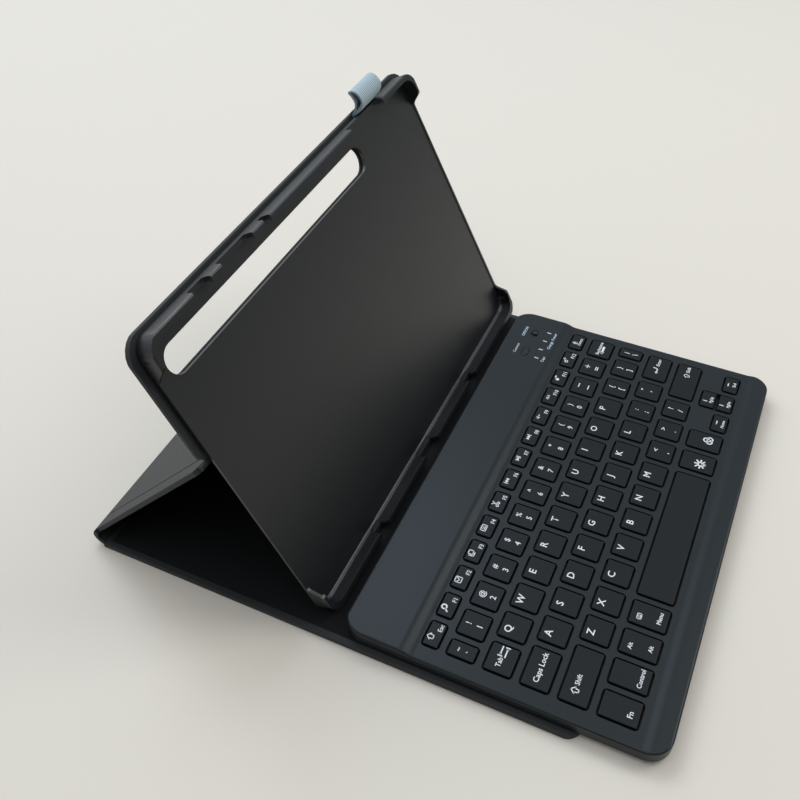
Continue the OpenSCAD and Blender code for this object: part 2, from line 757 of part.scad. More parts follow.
module keyboard_top_case() {
    cavity_r = kb_corner_r - kb_wall;
    color("#363d41")
        at_keyboard()
            difference() {
                union() {
                    difference() {
                        case_block();
                        kb_slab(kb_wall, kb_d - kb_wall, k_z - eps, roof_z, kb_wall, cavity_r);
                        kb_slab(bar_front, bar_back, roof_z - eps, bar_roof_z, kb_wall, 1);
                    }
                    at_screws()
                        translate([0, 0, floor_z])
                            cylinder(r = boss_r, h = roof_z - floor_z + eps, $fn = 32);
                    for (x = [boss_inset, kb_w / 2, kb_w - boss_inset])
                        translate([x, kb_d - boss_inset, floor_z])
                            cylinder(r = boss_r, h = bar_roof_z - floor_z + eps, $fn = 32);
                }
                for (k = WELLS)
                    translate([k[0] + k[2] / 2, k[1] + k[3] / 2, roof_z - eps])
                        linear_extrude(3)
                            polygon(rounded(k[2] + 2 * key_play, k[3] + 2 * key_play,
                                all4(well_r), small_steps));
                translate([switch_x, control_y, 0])
                    oblong(2 * knob_r + switch_travel + 2 * control_play, 2 * knob_r + 2 * control_play,
                        roof_z, bar_z + eps);
                translate([button_x, control_y, 0])
                    oblong(button_l + 2 * control_play, button_w + 2 * control_play, roof_z, bar_z + eps);
                at_lenses()
                    translate([-light_w / 2, -light_l / 2, roof_z]) cube([light_w, light_l, kb_t]);
                translate([kb_w - 2 * kb_wall, port_y - port_w / 2, port_mid_z - port_h / 2])
                    cube([3 * kb_wall, port_w, port_h]);
                at_screws()
                    translate([0, 0, floor_z - eps])
                        cylinder(r = screw_r, h = screw_l - kb_floor_t, $fn = 32);
            }
}

module keyboard_bottom_case() {
    inset = kb_wall + seam;
    color("#2c3033")
        at_keyboard()
            difference() {
                kb_slab(inset, kb_d - inset, k_z, floor_z, inset, kb_corner_r - inset);
                at_screws() {
                    translate([0, 0, k_z - eps]) cylinder(r = screw_r, h = kb_t, $fn = 32);
                    translate([0, 0, k_z - eps])
                        cylinder(r = screw_head_r, h = screw_head_h + eps, $fn = 32);
                }
                at_feet()
                    translate([0, 0, k_z - eps]) cylinder(r = foot_r, h = foot_seat + eps, $fn = 48);
                translate([-k_x, -k_y, 0]) magnet_bars(floor_z - magnet_t);
            }
}

module keyboard_magnets() {
    color("#9a9da0") magnet_bars(floor_z - magnet_t);
}

// Rubber feet: all four stand over the base
foot_seat = 0.5;
foot_in_x = 20;
foot_in_y = 9;
module at_feet() {
    for (x = [foot_in_x, kb_w - foot_in_x])
        for (y = [kb_overhang + foot_in_y, kb_d - foot_in_y])
            translate([x, y, 0]) children();
}
module keyboard_feet() {
    color("#1d1e1f")
        at_keyboard() at_feet()
            translate([0, 0, panel_t]) cylinder(r = foot_r, h = foot_h + foot_seat, $fn = 48);
}

module case_screws() {
    color("#8d8f92")
        at_keyboard() at_screws() {
            translate([0, 0, k_z]) cylinder(r = screw_head_r, h = screw_head_h, $fn = 32);
            translate([0, 0, k_z + screw_head_h - eps])
                cylinder(r = screw_r, h = screw_l - screw_head_h - eps, $fn = 32);
        }
}

// Steel plate under the keys, and the sheet of rubber domes on it
module key_support_plate() {
    color("#6f7478")
        at_keyboard()
            kb_slab(plate_y0, bar_y - bar_slope + plate_margin, floor_z, sheet_z, kb_wall + plate_margin, 2);
}
module rubber_dome_sheet() {
    color("#c8cdd0")
        at_keyboard() {
            kb_slab(plate_y0, bar_y - bar_slope + plate_margin, sheet_z, dome_z, kb_wall + plate_margin, 2);
            for (k = ALL_KEYS)
                translate([k[0] + k[2] / 2, k[1] + k[3] / 2, dome_z - eps])
                    cylinder(r1 = dome_r, r2 = dome_top_r, h = dome_top - dome_z + eps, $fn = 16);
        }
}

module battery() {
    color("#b9bdc2")
        at_keyboard()
            translate([battery_x, (bar_front + bar_back - battery_w) / 2 - 3, floor_z])
                linear_extrude(battery_t)
                    translate([battery_l / 2, battery_w / 2])
                        polygon(rounded(battery_l, battery_w, all4(2)));
}

// Circuit board with the controller, the button's switch and the lights' diodes
module circuit_board() {
    chip = 7;
    chip_t = 0.9;
    tact = 3;
    color("#1f5a3a")
        at_keyboard() {
            translate([board_x, port_y - board_w / 2, pcb_z]) cube([board_l, board_w, pcb_t]);
            translate([board_x + board_l, port_y - port_w / 2, pcb_z])
                cube([kb_w - 2 * kb_wall - board_x - board_l, port_w, pcb_t]);
            translate([board_x + 2 * chip, port_y - chip / 2, pcb_z + pcb_t - eps])
                cube([chip, chip, chip_t]);
            translate([button_x - tact / 2, control_y - tact / 2, pcb_z + pcb_t - eps])
                cube([tact, tact, flange_z - button_press - pcb_z - pcb_t]);
            at_lenses()
                translate([-light_w / 2, -light_l / 2, pcb_z + pcb_t - eps])
                    cube([light_w, light_l, bar_roof_z - pcb_z - pcb_t - lens_seat]);
        }
}

// Clear bars that carry the diodes' light to the surface
lens_seat = 0.6;
module indicator_lenses() {
    color("#d8dde0")
        at_keyboard() at_lenses()
            translate([-light_w / 2, -light_l / 2, bar_roof_z - lens_seat])
                cube([light_w, light_l, kb_roof_t + lens_seat]);
}

module charging_port() {
    color("#a9adb1")
        at_keyboard()
            translate([kb_w - kb_wall / 2 - port_l, port_y - port_w / 2, port_mid_z - port_h / 2])
                difference() {
                    cube([port_l, port_w, port_h]);
                    translate([port_wall, port_wall, port_wall])
                        cube([port_l, port_w - 2 * port_wall, port_h - 2 * port_wall]);
                }
}

// Switch and button: each has a flange under the case that keeps it in
flange_t = 0.6;
flange_z = bar_roof_z - flange_t;
button_press = 0.4;
knob_flange = 8;
knob_flange_w = 6;
knob_top = 0.2;
module switch_body() {
    color("#3b3d40")
        at_keyboard()
            translate([switch_x - 5, control_y - knob_flange_w / 2, pcb_z + pcb_t])
                cube([10, knob_flange_w, flange_z - pcb_z - pcb_t]);
}
module power_switch_knob() {
    color("#1e2123")
        at_keyboard()
            translate([switch_x + switch_travel / 2, control_y, 0]) {
                translate([-knob_flange / 2, -knob_flange_w / 2, flange_z])
                    cube([knob_flange, knob_flange_w, flange_t]);
                translate([0, 0, bar_roof_z - eps])
                    linear_extrude(kb_roof_t + eps - knob_top) circle(knob_r, $fn = 32);
            }
}
module connect_button() {
    color("#2a2e31")
        at_keyboard()
            translate([button_x, control_y, 0]) {
                oblong(button_l + 2, button_w + 2, flange_z, bar_roof_z);
                oblong(button_l, button_w, bar_roof_z - eps, bar_z + knob_top);
            }
}

// Keycap: it is hollow, its sides lean in, and its two ears lie under the case's edge
function side_shape(w) = [
    [-w / 2, 0], [w / 2, 0],
    [w / 2 - cap_draft, cap_h - cap_chamfer], [w / 2 - cap_draft - cap_chamfer, cap_h],
    [cap_draft + cap_chamfer - w / 2, cap_h], [cap_draft - w / 2, cap_h - cap_chamfer]];
module cap(k) {
    w = k[2];
    d = k[3];
    ear_w = w + 2 * (key_play + ear_over);
    ear_d = d - 2 * well_r;
    translate([k_x + k[0] + w / 2, k_y + k[1] + d / 2, cap_z])
        difference() {
            union() {
                intersection() {
                    linear_extrude(cap_h) polygon(rounded(w, d, all4(cap_r), small_steps));
                    translate([0, d / 2, 0])
                        rotate([90, 0, 0]) linear_extrude(d) polygon(side_shape(w));
                    translate([-w / 2, 0, 0])
                        rotate([90, 0, 90]) linear_extrude(w) polygon(side_shape(d));
                }
                translate([-ear_w / 2, -ear_d / 2, 0]) cube([ear_w, ear_d, ear_t]);
            }
            translate([0, 0, -eps])
                linear_extrude(cap_h - cap_wall + eps)
                    polygon(rounded(w - 2 * cap_wall, d - 2 * cap_wall, all4(cap_r - cap_wall / 2), 1));
        }
}
cap_colour = "#2a2d2f";
module caps(keys) {
    color(cap_colour) for (k = keys) cap(k);
}
function row_part(r, i0, i1) = [for (i = [i0:i1]) row_key(r, i)];

module esc_key() {
    caps(row_part(0, 0, 0));
}
module f1_to_f6_keys() {
    caps(row_part(0, 1, 6));
}
module f7_to_f12_keys() {
    caps(row_part(0, 7, 12));
}
module delete_key() {
    caps(row_part(0, 13, 13));
}
module grave_key() {
    caps(row_part(1, 0, 0));
}
module one_to_six_keys() {
    caps(row_part(1, 1, 6));
}
module seven_to_equals_keys() {
    caps(row_part(1, 7, 12));
}
module backspace_key() {
    caps(row_part(1, 13, 13));
}
module tab_key() {
    caps(row_part(2, 0, 0));
}
module q_to_y_keys() {
    caps(row_part(2, 1, 6));
}
module u_to_bracket_keys() {
    caps(row_part(2, 7, 12));
}
module backslash_key() {
    caps(row_part(2, 13, 13));
}
module caps_lock_key() {
    caps(row_part(3, 0, 0));
}
module a_to_g_keys() {
    caps(row_part(3, 1, 5));
}
module h_to_quote_keys() {
    caps(row_part(3, 6, 11));
}
module enter_key() {
    caps(row_part(3, 12, 12));
}
module left_shift_key() {
    caps(row_part(4, 0, 0));
}
module z_to_b_keys() {
    caps(row_part(4, 1, 5));
}
module n_to_slash_keys() {
    caps(row_part(4, 6, 10));
}
module right_shift_key() {
    caps(row_part(4, 11, 11));
}
module fn_key() {
    caps([front_key(0)]);
}
module control_key() {
    caps([front_key(1)]);
}
module alt_key() {
    caps([front_key(2)]);
}
module meta_key() {
    caps([front_key(3)]);
}
module space_key() {
    caps([front_key(4)]);
}
module light_key() {
    caps([front_key(5)]);
}
module colour_key() {
    caps([front_key(6)]);
}
module left_key() {
    caps([arrow_key(0, false)]);
}
module up_key() {
    caps([arrow_key(1, true)]);
}
module down_key() {
    caps([arrow_key(1, false)]);
}
module right_key() {
    caps([arrow_key(2, false)]);
}

base_outer_leather();
base_board();
base_lining();
base_magnets();
rear_fold_leather();
kickstand_outer_leather();
kickstand_board();
kickstand_lining();
mid_fold_leather();
back_panel_leather();
back_panel_board();
adhesive_sheet();
tablet_tray();
pen_loop();
keyboard_top_case();
keyboard_bottom_case();
key_support_plate();
rubber_dome_sheet();
circuit_board();
battery();
keyboard_magnets();
keyboard_feet();
indicator_lenses();
charging_port();
case_screws();
switch_body();
power_switch_knob();
connect_button();
esc_key();
f1_to_f6_keys();
f7_to_f12_keys();
delete_key();
grave_key();
one_to_six_keys();
seven_to_equals_keys();
backspace_key();
tab_key();
q_to_y_keys();
u_to_bracket_keys();
backslash_key();
caps_lock_key();
a_to_g_keys();
h_to_quote_keys();
enter_key();
left_shift_key();
z_to_b_keys();
n_to_slash_keys();
right_shift_key();
fn_key();
control_key();
alt_key();
meta_key();
space_key();
light_key();
colour_key();
left_key();
up_key();
down_key();
right_key();
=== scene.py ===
"""Dresses the folding tablet cover and its keyboard: camera, light, finishes, folds and prints."""

import json  # noqa: E402
import logging  # noqa: E402
import math  # noqa: E402
from dataclasses import dataclass  # noqa: E402
from enum import Enum  # noqa: E402
from typing import Any, Iterable  # noqa: E402

import bmesh  # noqa: E402
import bpy  # noqa: E402
from mathutils import Matrix, Vector  # noqa: E402


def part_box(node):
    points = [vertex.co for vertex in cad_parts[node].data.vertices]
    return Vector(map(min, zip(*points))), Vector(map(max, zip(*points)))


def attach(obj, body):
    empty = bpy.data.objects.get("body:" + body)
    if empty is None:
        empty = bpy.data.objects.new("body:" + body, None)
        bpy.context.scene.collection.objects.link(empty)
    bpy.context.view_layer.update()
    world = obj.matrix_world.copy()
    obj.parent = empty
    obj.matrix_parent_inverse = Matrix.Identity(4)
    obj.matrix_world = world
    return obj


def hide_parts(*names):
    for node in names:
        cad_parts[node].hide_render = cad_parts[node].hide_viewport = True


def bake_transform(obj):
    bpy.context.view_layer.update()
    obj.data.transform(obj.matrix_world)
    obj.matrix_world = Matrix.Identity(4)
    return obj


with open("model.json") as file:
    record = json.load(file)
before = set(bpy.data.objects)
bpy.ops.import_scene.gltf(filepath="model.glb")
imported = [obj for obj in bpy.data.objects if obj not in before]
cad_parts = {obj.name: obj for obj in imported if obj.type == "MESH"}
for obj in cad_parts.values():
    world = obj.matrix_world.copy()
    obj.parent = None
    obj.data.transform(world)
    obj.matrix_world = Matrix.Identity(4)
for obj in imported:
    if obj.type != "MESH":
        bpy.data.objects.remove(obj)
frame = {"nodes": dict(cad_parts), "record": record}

Socket = bpy.types.NodeSocket
Point = tuple[float, float, float]

LOG = logging.getLogger("keyboard_cover")
MM = 0.001

# Sockets of a Mix node for colours, which share their names with those for numbers.
MIX_SHARE, MIX_FIRST, MIX_SECOND, MIX_RESULT = 0, 6, 7, 2
# A finish's roughness swings this far about its mean, with its relief.
ROUGHNESS_SWING = 0.05
# A wave texture's phase in radians per unit of its scale.
WAVE_PHASE = 20
# How far brushed streaks are drawn out along X.
STREAK = (0.03, 1.0, 1.0)
# Octaves of noise in a drift of colour, in speckle and in fibres.
DRIFT_DETAIL, SPECKLE_DETAIL, FIBRE_DETAIL = 3.0, 2.0, 6.0

# Points of a CAD mesh that lie closer than this, in metres, are one.
WELD = 2e-6
# Triangles that differ by less than this angle in degrees are one flat face.
FLAT_ANGLE = 0.4
# Edges sharper than this angle in degrees are rounded.
ROUNDED_ANGLE = 40
# Edges that are still sharper than this after that look hard.
HARD_ANGLE = 35

# The font's capitals are this share of its size high.
CAPITAL_SHARE = 0.70
# Letters are thickened by this share of a capital's height, as ink spreads.
INK_SPREAD = 0.022
# Half the stroke's width of a mark with few strokes and of one with many, in the mark's units.
BROAD_STROKE = 0.1
FINE_STROKE = 0.065
FEW_STROKES = 2


def linear(hex_colour: str) -> tuple[float, float, float, float]:
    """Turns an sRGB hex colour into linear RGBA.

    Args:
        hex_colour: The colour as "#rrggbb".

    Returns:
        The linear colour with alpha 1.
    """
    parts = [int(hex_colour[i : i + 2], 16) / 255 for i in (1, 3, 5)]
    r, g, b = (c / 12.92 if c <= 0.04045 else ((c + 0.055) / 1.055) ** 2.4 for c in parts)
    return r, g, b, 1.0


def add(
    tree: bpy.types.NodeTree,
    kind: str,
    inputs: dict[str | int, Any] | None = None,
    **settings: Any,
) -> bpy.types.Node:
    """Adds one node with its settings, values and links.

    Args:
        tree: The tree that gets the node.
        kind: The node's Blender type.
        inputs: Values or sockets by input name or index.
        **settings: Attributes of the node.

    Returns:
        The new node.
    """
    made = tree.nodes.new(kind)
    for name, value in settings.items():
        setattr(made, name, value)
    for name, value in (inputs or {}).items():
        if isinstance(value, Socket):
            tree.links.new(value, made.inputs[name])
        else:
            made.inputs[name].default_value = value
    return made


class Surface(Enum):
    """How a finish's small relief is patterned.

    SPARK is the fine speckle of a spark-eroded mould, GRAIN the cells of pressed leather, RIB the
    bars of a woven band, NAP fibres or crumbs, BRUSHED long streaks, and PLAIN nothing.
    """

    SPARK = "spark"
    GRAIN = "grain"
    RIB = "rib"
    NAP = "nap"
    BRUSHED = "brushed"
    PLAIN = "plain"


@dataclass(frozen=True)
class Finish:
    """One real material with its colour, gloss and relief.

    Attributes:
        name: The material's name.
        colour: Its main colour; on ribs, the painted shade in their grooves.
        second: The colour that it drifts to over a larger scale; on ribs, the painted highlight on
            their crests.
        roughness: Its roughness.
        surface: The pattern of its relief.
        size_mm: The size of one grain, rib or spark mark.
        depth_mm: How deep the relief is.
        drift_mm: How far apart the two colours lie.
        metallic: Whether it is metal.
        sheen: The weight of its fibres' sheen.
        shine: The level of its mirror reflection; 0.5 is bare smooth plastic.
        glow: Its emission: the light that a light guide passes on from behind, and a faint painted
            glow on the prints.
    """

    name: str
    colour: str
    second: str
    roughness: float
    surface: Surface = Surface.SPARK
    size_mm: float = 0.4
    depth_mm: float = 0.01
    drift_mm: float = 60.0
    metallic: float = 0.0
    sheen: float = 0.0
    shine: float = 0.5
    glow: float = 0.0

    def material(self) -> bpy.types.Material:
        """Makes the finish as a Blender material, once.

        Returns:
            The material.
        """
        ready = bpy.data.materials.get(self.name)
        if ready:
            return ready
        made = bpy.data.materials.new(self.name)
        made.use_nodes = True
        made.diffuse_color = linear(self.colour)
        tree = made.node_tree
        shader = tree.nodes["Principled BSDF"]
        place = add(tree, "ShaderNodeTexCoord").outputs["Object"]
        height = self._relief(tree, place)
        drift = add(
            tree,
            "ShaderNodeTexNoise",
            {"Vector": place, "Scale": 1 / (self.drift_mm * MM), "Detail": DRIFT_DETAIL},
        )
        # A ribbed finish takes its colours from the ribs' height: painted shade in the grooves,
        # painted highlight on the crests; other finishes drift at random.
        share = height if self.surface is Surface.RIB else drift.outputs["Fac"]
        mixed = add(
            tree,
            "ShaderNodeMix",
            {
                MIX_SHARE: share,
                MIX_FIRST: linear(self.colour),
                MIX_SECOND: linear(self.second),
            },
            data_type="RGBA",
        )
        tree.links.new(mixed.outputs[MIX_RESULT], shader.inputs["Base Color"])
        shader.inputs["Metallic"].default_value = self.metallic
        shader.inputs["Sheen Weight"].default_value = self.sheen
        shader.inputs["Specular IOR Level"].default_value = self.shine
        if self.glow:
            shader.inputs["Emission Color"].default_value = linear(self.colour)
            shader.inputs["Emission Strength"].default_value = self.glow
        if height is None:
            shader.inputs["Roughness"].default_value = self.roughness
            return made
        rough = add(
            tree,
            "ShaderNodeMapRange",
            {
                "Value": height,
                "To Min": self.roughness - ROUGHNESS_SWING,
                "To Max": self.roughness + ROUGHNESS_SWING,
            },
        )
        tree.links.new(rough.outputs["Result"], shader.inputs["Roughness"])
        bump = add(
            tree,
            "ShaderNodeBump",
            {"Height": height, "Strength": 1.0, "Distance": self.depth_mm * MM},
        )
        tree.links.new(bump.outputs["Normal"], shader.inputs["Normal"])
        return made

    def _relief(self, tree: bpy.types.NodeTree, place: Socket) -> Socket | None:
        """Adds the nodes of the relief.

        Args:
            tree: The material's tree.
            place: The coordinates that the pattern reads.

        Returns:
            The height's socket, or None for a plain surface.
        """
        per_m = 1 / (self.size_mm * MM)
        if self.surface is Surface.PLAIN:
            return None
        if self.surface is Surface.GRAIN:
            cells = add(
                tree,
                "ShaderNodeTexVoronoi",
                {"Vector": place, "Scale": per_m, "Randomness": 1.0},
                feature="SMOOTH_F1",
            )
            return cells.outputs["Distance"]
        if self.surface is Surface.RIB:
            wave = add(
                tree,
                "ShaderNodeTexWave",
                {"Vector": place, "Scale": per_m * math.tau / WAVE_PHASE, "Distortion": 0.0},
                bands_direction="X",
                wave_profile="SIN",
            )
            return wave.outputs["Fac"]
        if self.surface is Surface.BRUSHED:
            stretched = add(tree, "ShaderNodeMapping", {"Vector": place, "Scale": STREAK})
            place = stretched.outputs["Vector"]
        detail = FIBRE_DETAIL if self.surface is Surface.NAP else SPECKLE_DETAIL
        speckle = add(
            tree, "ShaderNodeTexNoise", {"Vector": place, "Scale": per_m, "Detail": detail}
        )
        return speckle.outputs["Fac"]


# Sprayed over smooth plastic: a soft sheen that lets the long slopes read as light bands.
CASE_PAINT = Finish(
    "satin_case_paint", "#181f22", "#1c2326", 0.34, size_mm=0.35, depth_mm=0.01, shine=0.3
)
# Moulded in a spark-eroded tool: an even matte that keeps the white print crisp.
CAP_PLASTIC = Finish(
    "spark_textured_keycap_abs", "#0c1113", "#101518", 0.42,
    size_mm=0.3, depth_mm=0.01, shine=0.25,
)
# Bare moulding under the keyboard: a coarser texture than the painted top.
CASE_PLASTIC = Finish("moulded_case_abs", "#1b1d1f", "#1f2123", 0.55, size_mm=0.5, depth_mm=0.02)
# Pressed grain over board: the pores break the light, so that the wide panels don't look flat.
LEATHER = Finish(
    "pressed_grain_leather", "#26282a", "#2c2e30", 0.6, Surface.GRAIN,
    size_mm=0.55, depth_mm=0.05, shine=0.35,
)
# The same leather on the folds, a little duller and painted a little darker as painted shade.
FOLD_LEATHER_PAINTED_SHADE = Finish(
    "fold_leather_painted_shade", "#202224", "#26282a", 0.62, Surface.GRAIN,
    size_mm=0.55, depth_mm=0.05, shine=0.3,
)
# Short-pile microfibre, dark and painted near-black as painted shade as well, so that the inside of
# the stand stays nearly black.
LINING_WITH_PAINTED_SHADE = Finish(
    "microfibre_lining_painted_shade", "#121314", "#17191a", 0.9, Surface.NAP, size_mm=0.5, sheen=0.08, shine=0.2
)
# Matte moulding with a slight gloss at low angles, where it mirrors what lies before it.
TRAY = Finish(
    "matte_tray_polycarbonate", "#15181a", "#191c1d", 0.36, size_mm=0.3, depth_mm=0.006, shine=0.7
)
# The same plastic, duller and painted much darker as painted shade on the foot's upper strips: the
# wall stays dark above the foot's lit lower strips.
TRAY_WALL_PAINTED_SHADE = Finish(
    "tray_polycarbonate_painted_shade", "#07090a", "#0a0c0d", 0.5, size_mm=0.3, depth_mm=0.004, shine=0.2
)
# Woven ribs run round the band, a little coarser than such bands have them so that they show. Its
# two colours follow the ribs' height: painted shade in the grooves, painted highlight on the
# crests.
ELASTIC = Finish(
    "woven_rib_elastic", "#7d939c", "#c4d6dd", 0.85, Surface.RIB,
    size_mm=1.4, depth_mm=0.12, sheen=0.2,
)
# The band's inner faces are painted dark, as painted shade, so that its hollow reads as a dark
# mouth.
BAND_INSIDE_PAINTED_SHADE = Finish(
    "elastic_band_inside_painted_shade", "#3c4745", "#4a5654", 0.9, Surface.NAP, size_mm=0.6, shine=0.2
)
# Pulp board, coloured near-black: it shows only as a dull dark edge in the slot.
BOARD = Finish(
    "near_black_stiffener_board", "#1c1c1d", "#222223", 0.95, Surface.NAP, size_mm=0.8, shine=0.2
)
# Nickel over magnet alloy: a cool streaked gleam.
MAGNET = Finish(
    "nickel_plated_magnet", "#8e9092", "#969899", 0.35, Surface.BRUSHED, size_mm=0.4, metallic=1.0
)
# Plain stamped sheet: streaks follow the rolling direction.
STEEL = Finish(
    "stamped_steel", "#85888b", "#8d9093", 0.4, Surface.BRUSHED, size_mm=0.3, metallic=1.0
)
# Dull moulded feet, with the soft bloom of rubber.
RUBBER = Finish("moulded_rubber", "#1a1b1c", "#1e1f20", 0.75, Surface.NAP, size_mm=0.6)
# Black moulded rubber under the keys, so that no light shows in the gaps between them.
DOME_RUBBER = Finish("black_dome_rubber", "#161819", "#1b1d1e", 0.6, Surface.NAP, size_mm=0.6)
# Lacquer over copper: glossy, with small thickness changes.
SOLDER_MASK = Finish("green_solder_mask", "#1d5035", "#235a3c", 0.3, size_mm=0.6, depth_mm=0.005)
# Crinkled pouch foil.
FOIL = Finish(
    "battery_pouch_foil", "#a9adb0", "#b3b7ba", 0.35, Surface.NAP, size_mm=2.0, metallic=0.8
)
# Cloudy film between the tray and the panel.
GLUE = Finish("adhesive_film", "#8f8c83", "#98958b", 0.5, size_mm=1.0)
# Clear bars that carry a faint light up from the board.
LENS = Finish("clear_light_guide", "#aebfc9", "#b9c9d2", 0.2, Surface.PLAIN, glow=0.15)
# Opaque white ink that stands a little proud of the caps, with a faint painted glow.
PRINT = Finish(
    "white_key_print", "#d9dde0", "#e2e6e8", 0.6, size_mm=0.2, depth_mm=0.003, glow=0.05
)
# Bluer ink on the case, which sets the small words apart from the keys' white, with the same faint
# painted glow.
CASE_PRINT = Finish(
    "pale_blue_case_print", "#b3cbdc", "#bdd3e2", 0.6, size_mm=0.2, depth_mm=0.003, glow=0.05
)
# Smoother than the case, so that the thumb piece shows a small highlight.
KNOB = Finish("polished_knob_abs", "#131516", "#181a1b", 0.3, size_mm=0.3, depth_mm=0.004)


def smooth_by_angle(bm: bmesh.types.BMesh, degrees: float) -> None:
    """Shades a mesh smooth, with edges sharper than an angle kept hard.

    Args:
        bm: The mesh.
        degrees: The angle.
    """
    limit = math.radians(degrees)
    for face in bm.faces:
        face.smooth = True
    for edge in bm.edges:
        edge.smooth = len(edge.link_faces) == 2 and edge.calc_face_angle(0) < limit


def place(name: str, bm: bmesh.types.BMesh, finish: Finish, body: str) -> bpy.types.Object:
    """Turns a finished mesh into a piece that rides on a body.

    Args:
        name: The piece's name.
        bm: The mesh; it is freed.
        finish: Its finish.
        body: The CAD body that it rides on, or "" for a piece that rides on no body.

    Returns:
        The new object.
    """
    mesh = bpy.data.meshes.new(name)
    bm.to_mesh(mesh)
    bm.free()
    mesh.materials.append(finish.material())
    made = bpy.data.objects.new(name, mesh)
    bpy.context.scene.collection.objects.link(made)
    if body:
        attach(made, body)
    LOG.info("piece %s: %d faces", name, len(mesh.polygons))
    return made


def merged(node: str) -> bmesh.types.BMesh:
    """Copies a CAD node's mesh and joins its triangles into whole faces.

    Args:
        node: The node.

    Returns:
        The copy.
    """
    bm = bmesh.new()
    bm.from_mesh(frame["nodes"][node].data)
    bmesh.ops.remove_doubles(bm, verts=bm.verts, dist=WELD)
    flat = math.radians(FLAT_ANGLE)
    bmesh.ops.dissolve_limit(bm, angle_limit=flat, verts=bm.verts, edges=bm.edges)
    return bm


def soften(bm: bmesh.types.BMesh, width: float) -> None:
    """Rounds a mesh's hard edges.

    Args:
        bm: The mesh.
        width: The rounding's width in metres.
    """
    least = math.radians(ROUNDED_ANGLE)
    hard = [e for e in bm.edges if len(e.link_faces) == 2 and e.calc_face_angle(0) > least]
    bmesh.ops.bevel(
        bm,
        geom=hard,
        offset=width,
        offset_type="OFFSET",
        segments=2,
        profile=0.5,
        affect="EDGES",
        clamp_overlap=True,
        material=-1,
    )


def dressed(node: str, finish: Finish, body: str, width_mm: float = 0.2) -> bpy.types.Object:
    """Replaces a CAD node by a copy of itself with rounded edges and smooth shading.

    Args:
        node: The CAD node.
        finish: The copy's finish.
        body: The body that it rides on.
        width_mm: The rounding of its edges.

    Returns:
        The new piece.
    """
    bm = merged(node)
    if width_mm:
        soften(bm, width_mm * MM)
    smooth_by_angle(bm, HARD_ANGLE)
    made = place(f"{node}_dressed", bm, finish, body)
    # At full weight the wide faces keep their own shading, and only the roundings bend the light.
    even = made.modifiers.new("even_shading", "WEIGHTED_NORMAL")
    even.keep_sharp = True
    even.weight = 100
    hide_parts(node)
    return made


def paint(finish: Finish, *nodes: str) -> None:
    """Gives CAD nodes a finish and leaves their meshes alone.

    Args:
        finish: The finish.
        *nodes: The names of the nodes.
    """
    for node in nodes:
        mesh = frame["nodes"][node].data
        if mesh.materials:
            for i in range(len(mesh.materials)):
                mesh.materials[i] = finish.material()
        else:
            mesh.materials.append(finish.material())


def lettering(text: str, high: float) -> bmesh.types.BMesh:
    """Makes flat letters as a mesh, centred on the origin.

    Args:
        text: The letters.
        high: The height of a capital in metres.

    Returns:
        The letters' mesh.
    """
    curve = bpy.data.curves.new("letters", "FONT")
    curve.body = text
    curve.size = high / CAPITAL_SHARE
    curve.resolution_u = 2
    curve.offset = high * INK_SPREAD
    curve.align_x = "CENTER"
    holder = bpy.data.objects.new("letters", curve)
    bpy.context.scene.collection.objects.link(holder)
    bpy.context.view_layer.update()
    view = holder.evaluated_get(bpy.context.evaluated_depsgraph_get())
    mesh = bpy.data.meshes.new_from_object(view)
    bm = bmesh.new()
    bm.from_mesh(mesh)
    bpy.data.objects.remove(holder)
    bpy.data.curves.remove(curve)
    bpy.data.meshes.remove(mesh)
    bmesh.ops.translate(bm, vec=(0, -high / 2, 0), verts=bm.verts)
    return bm


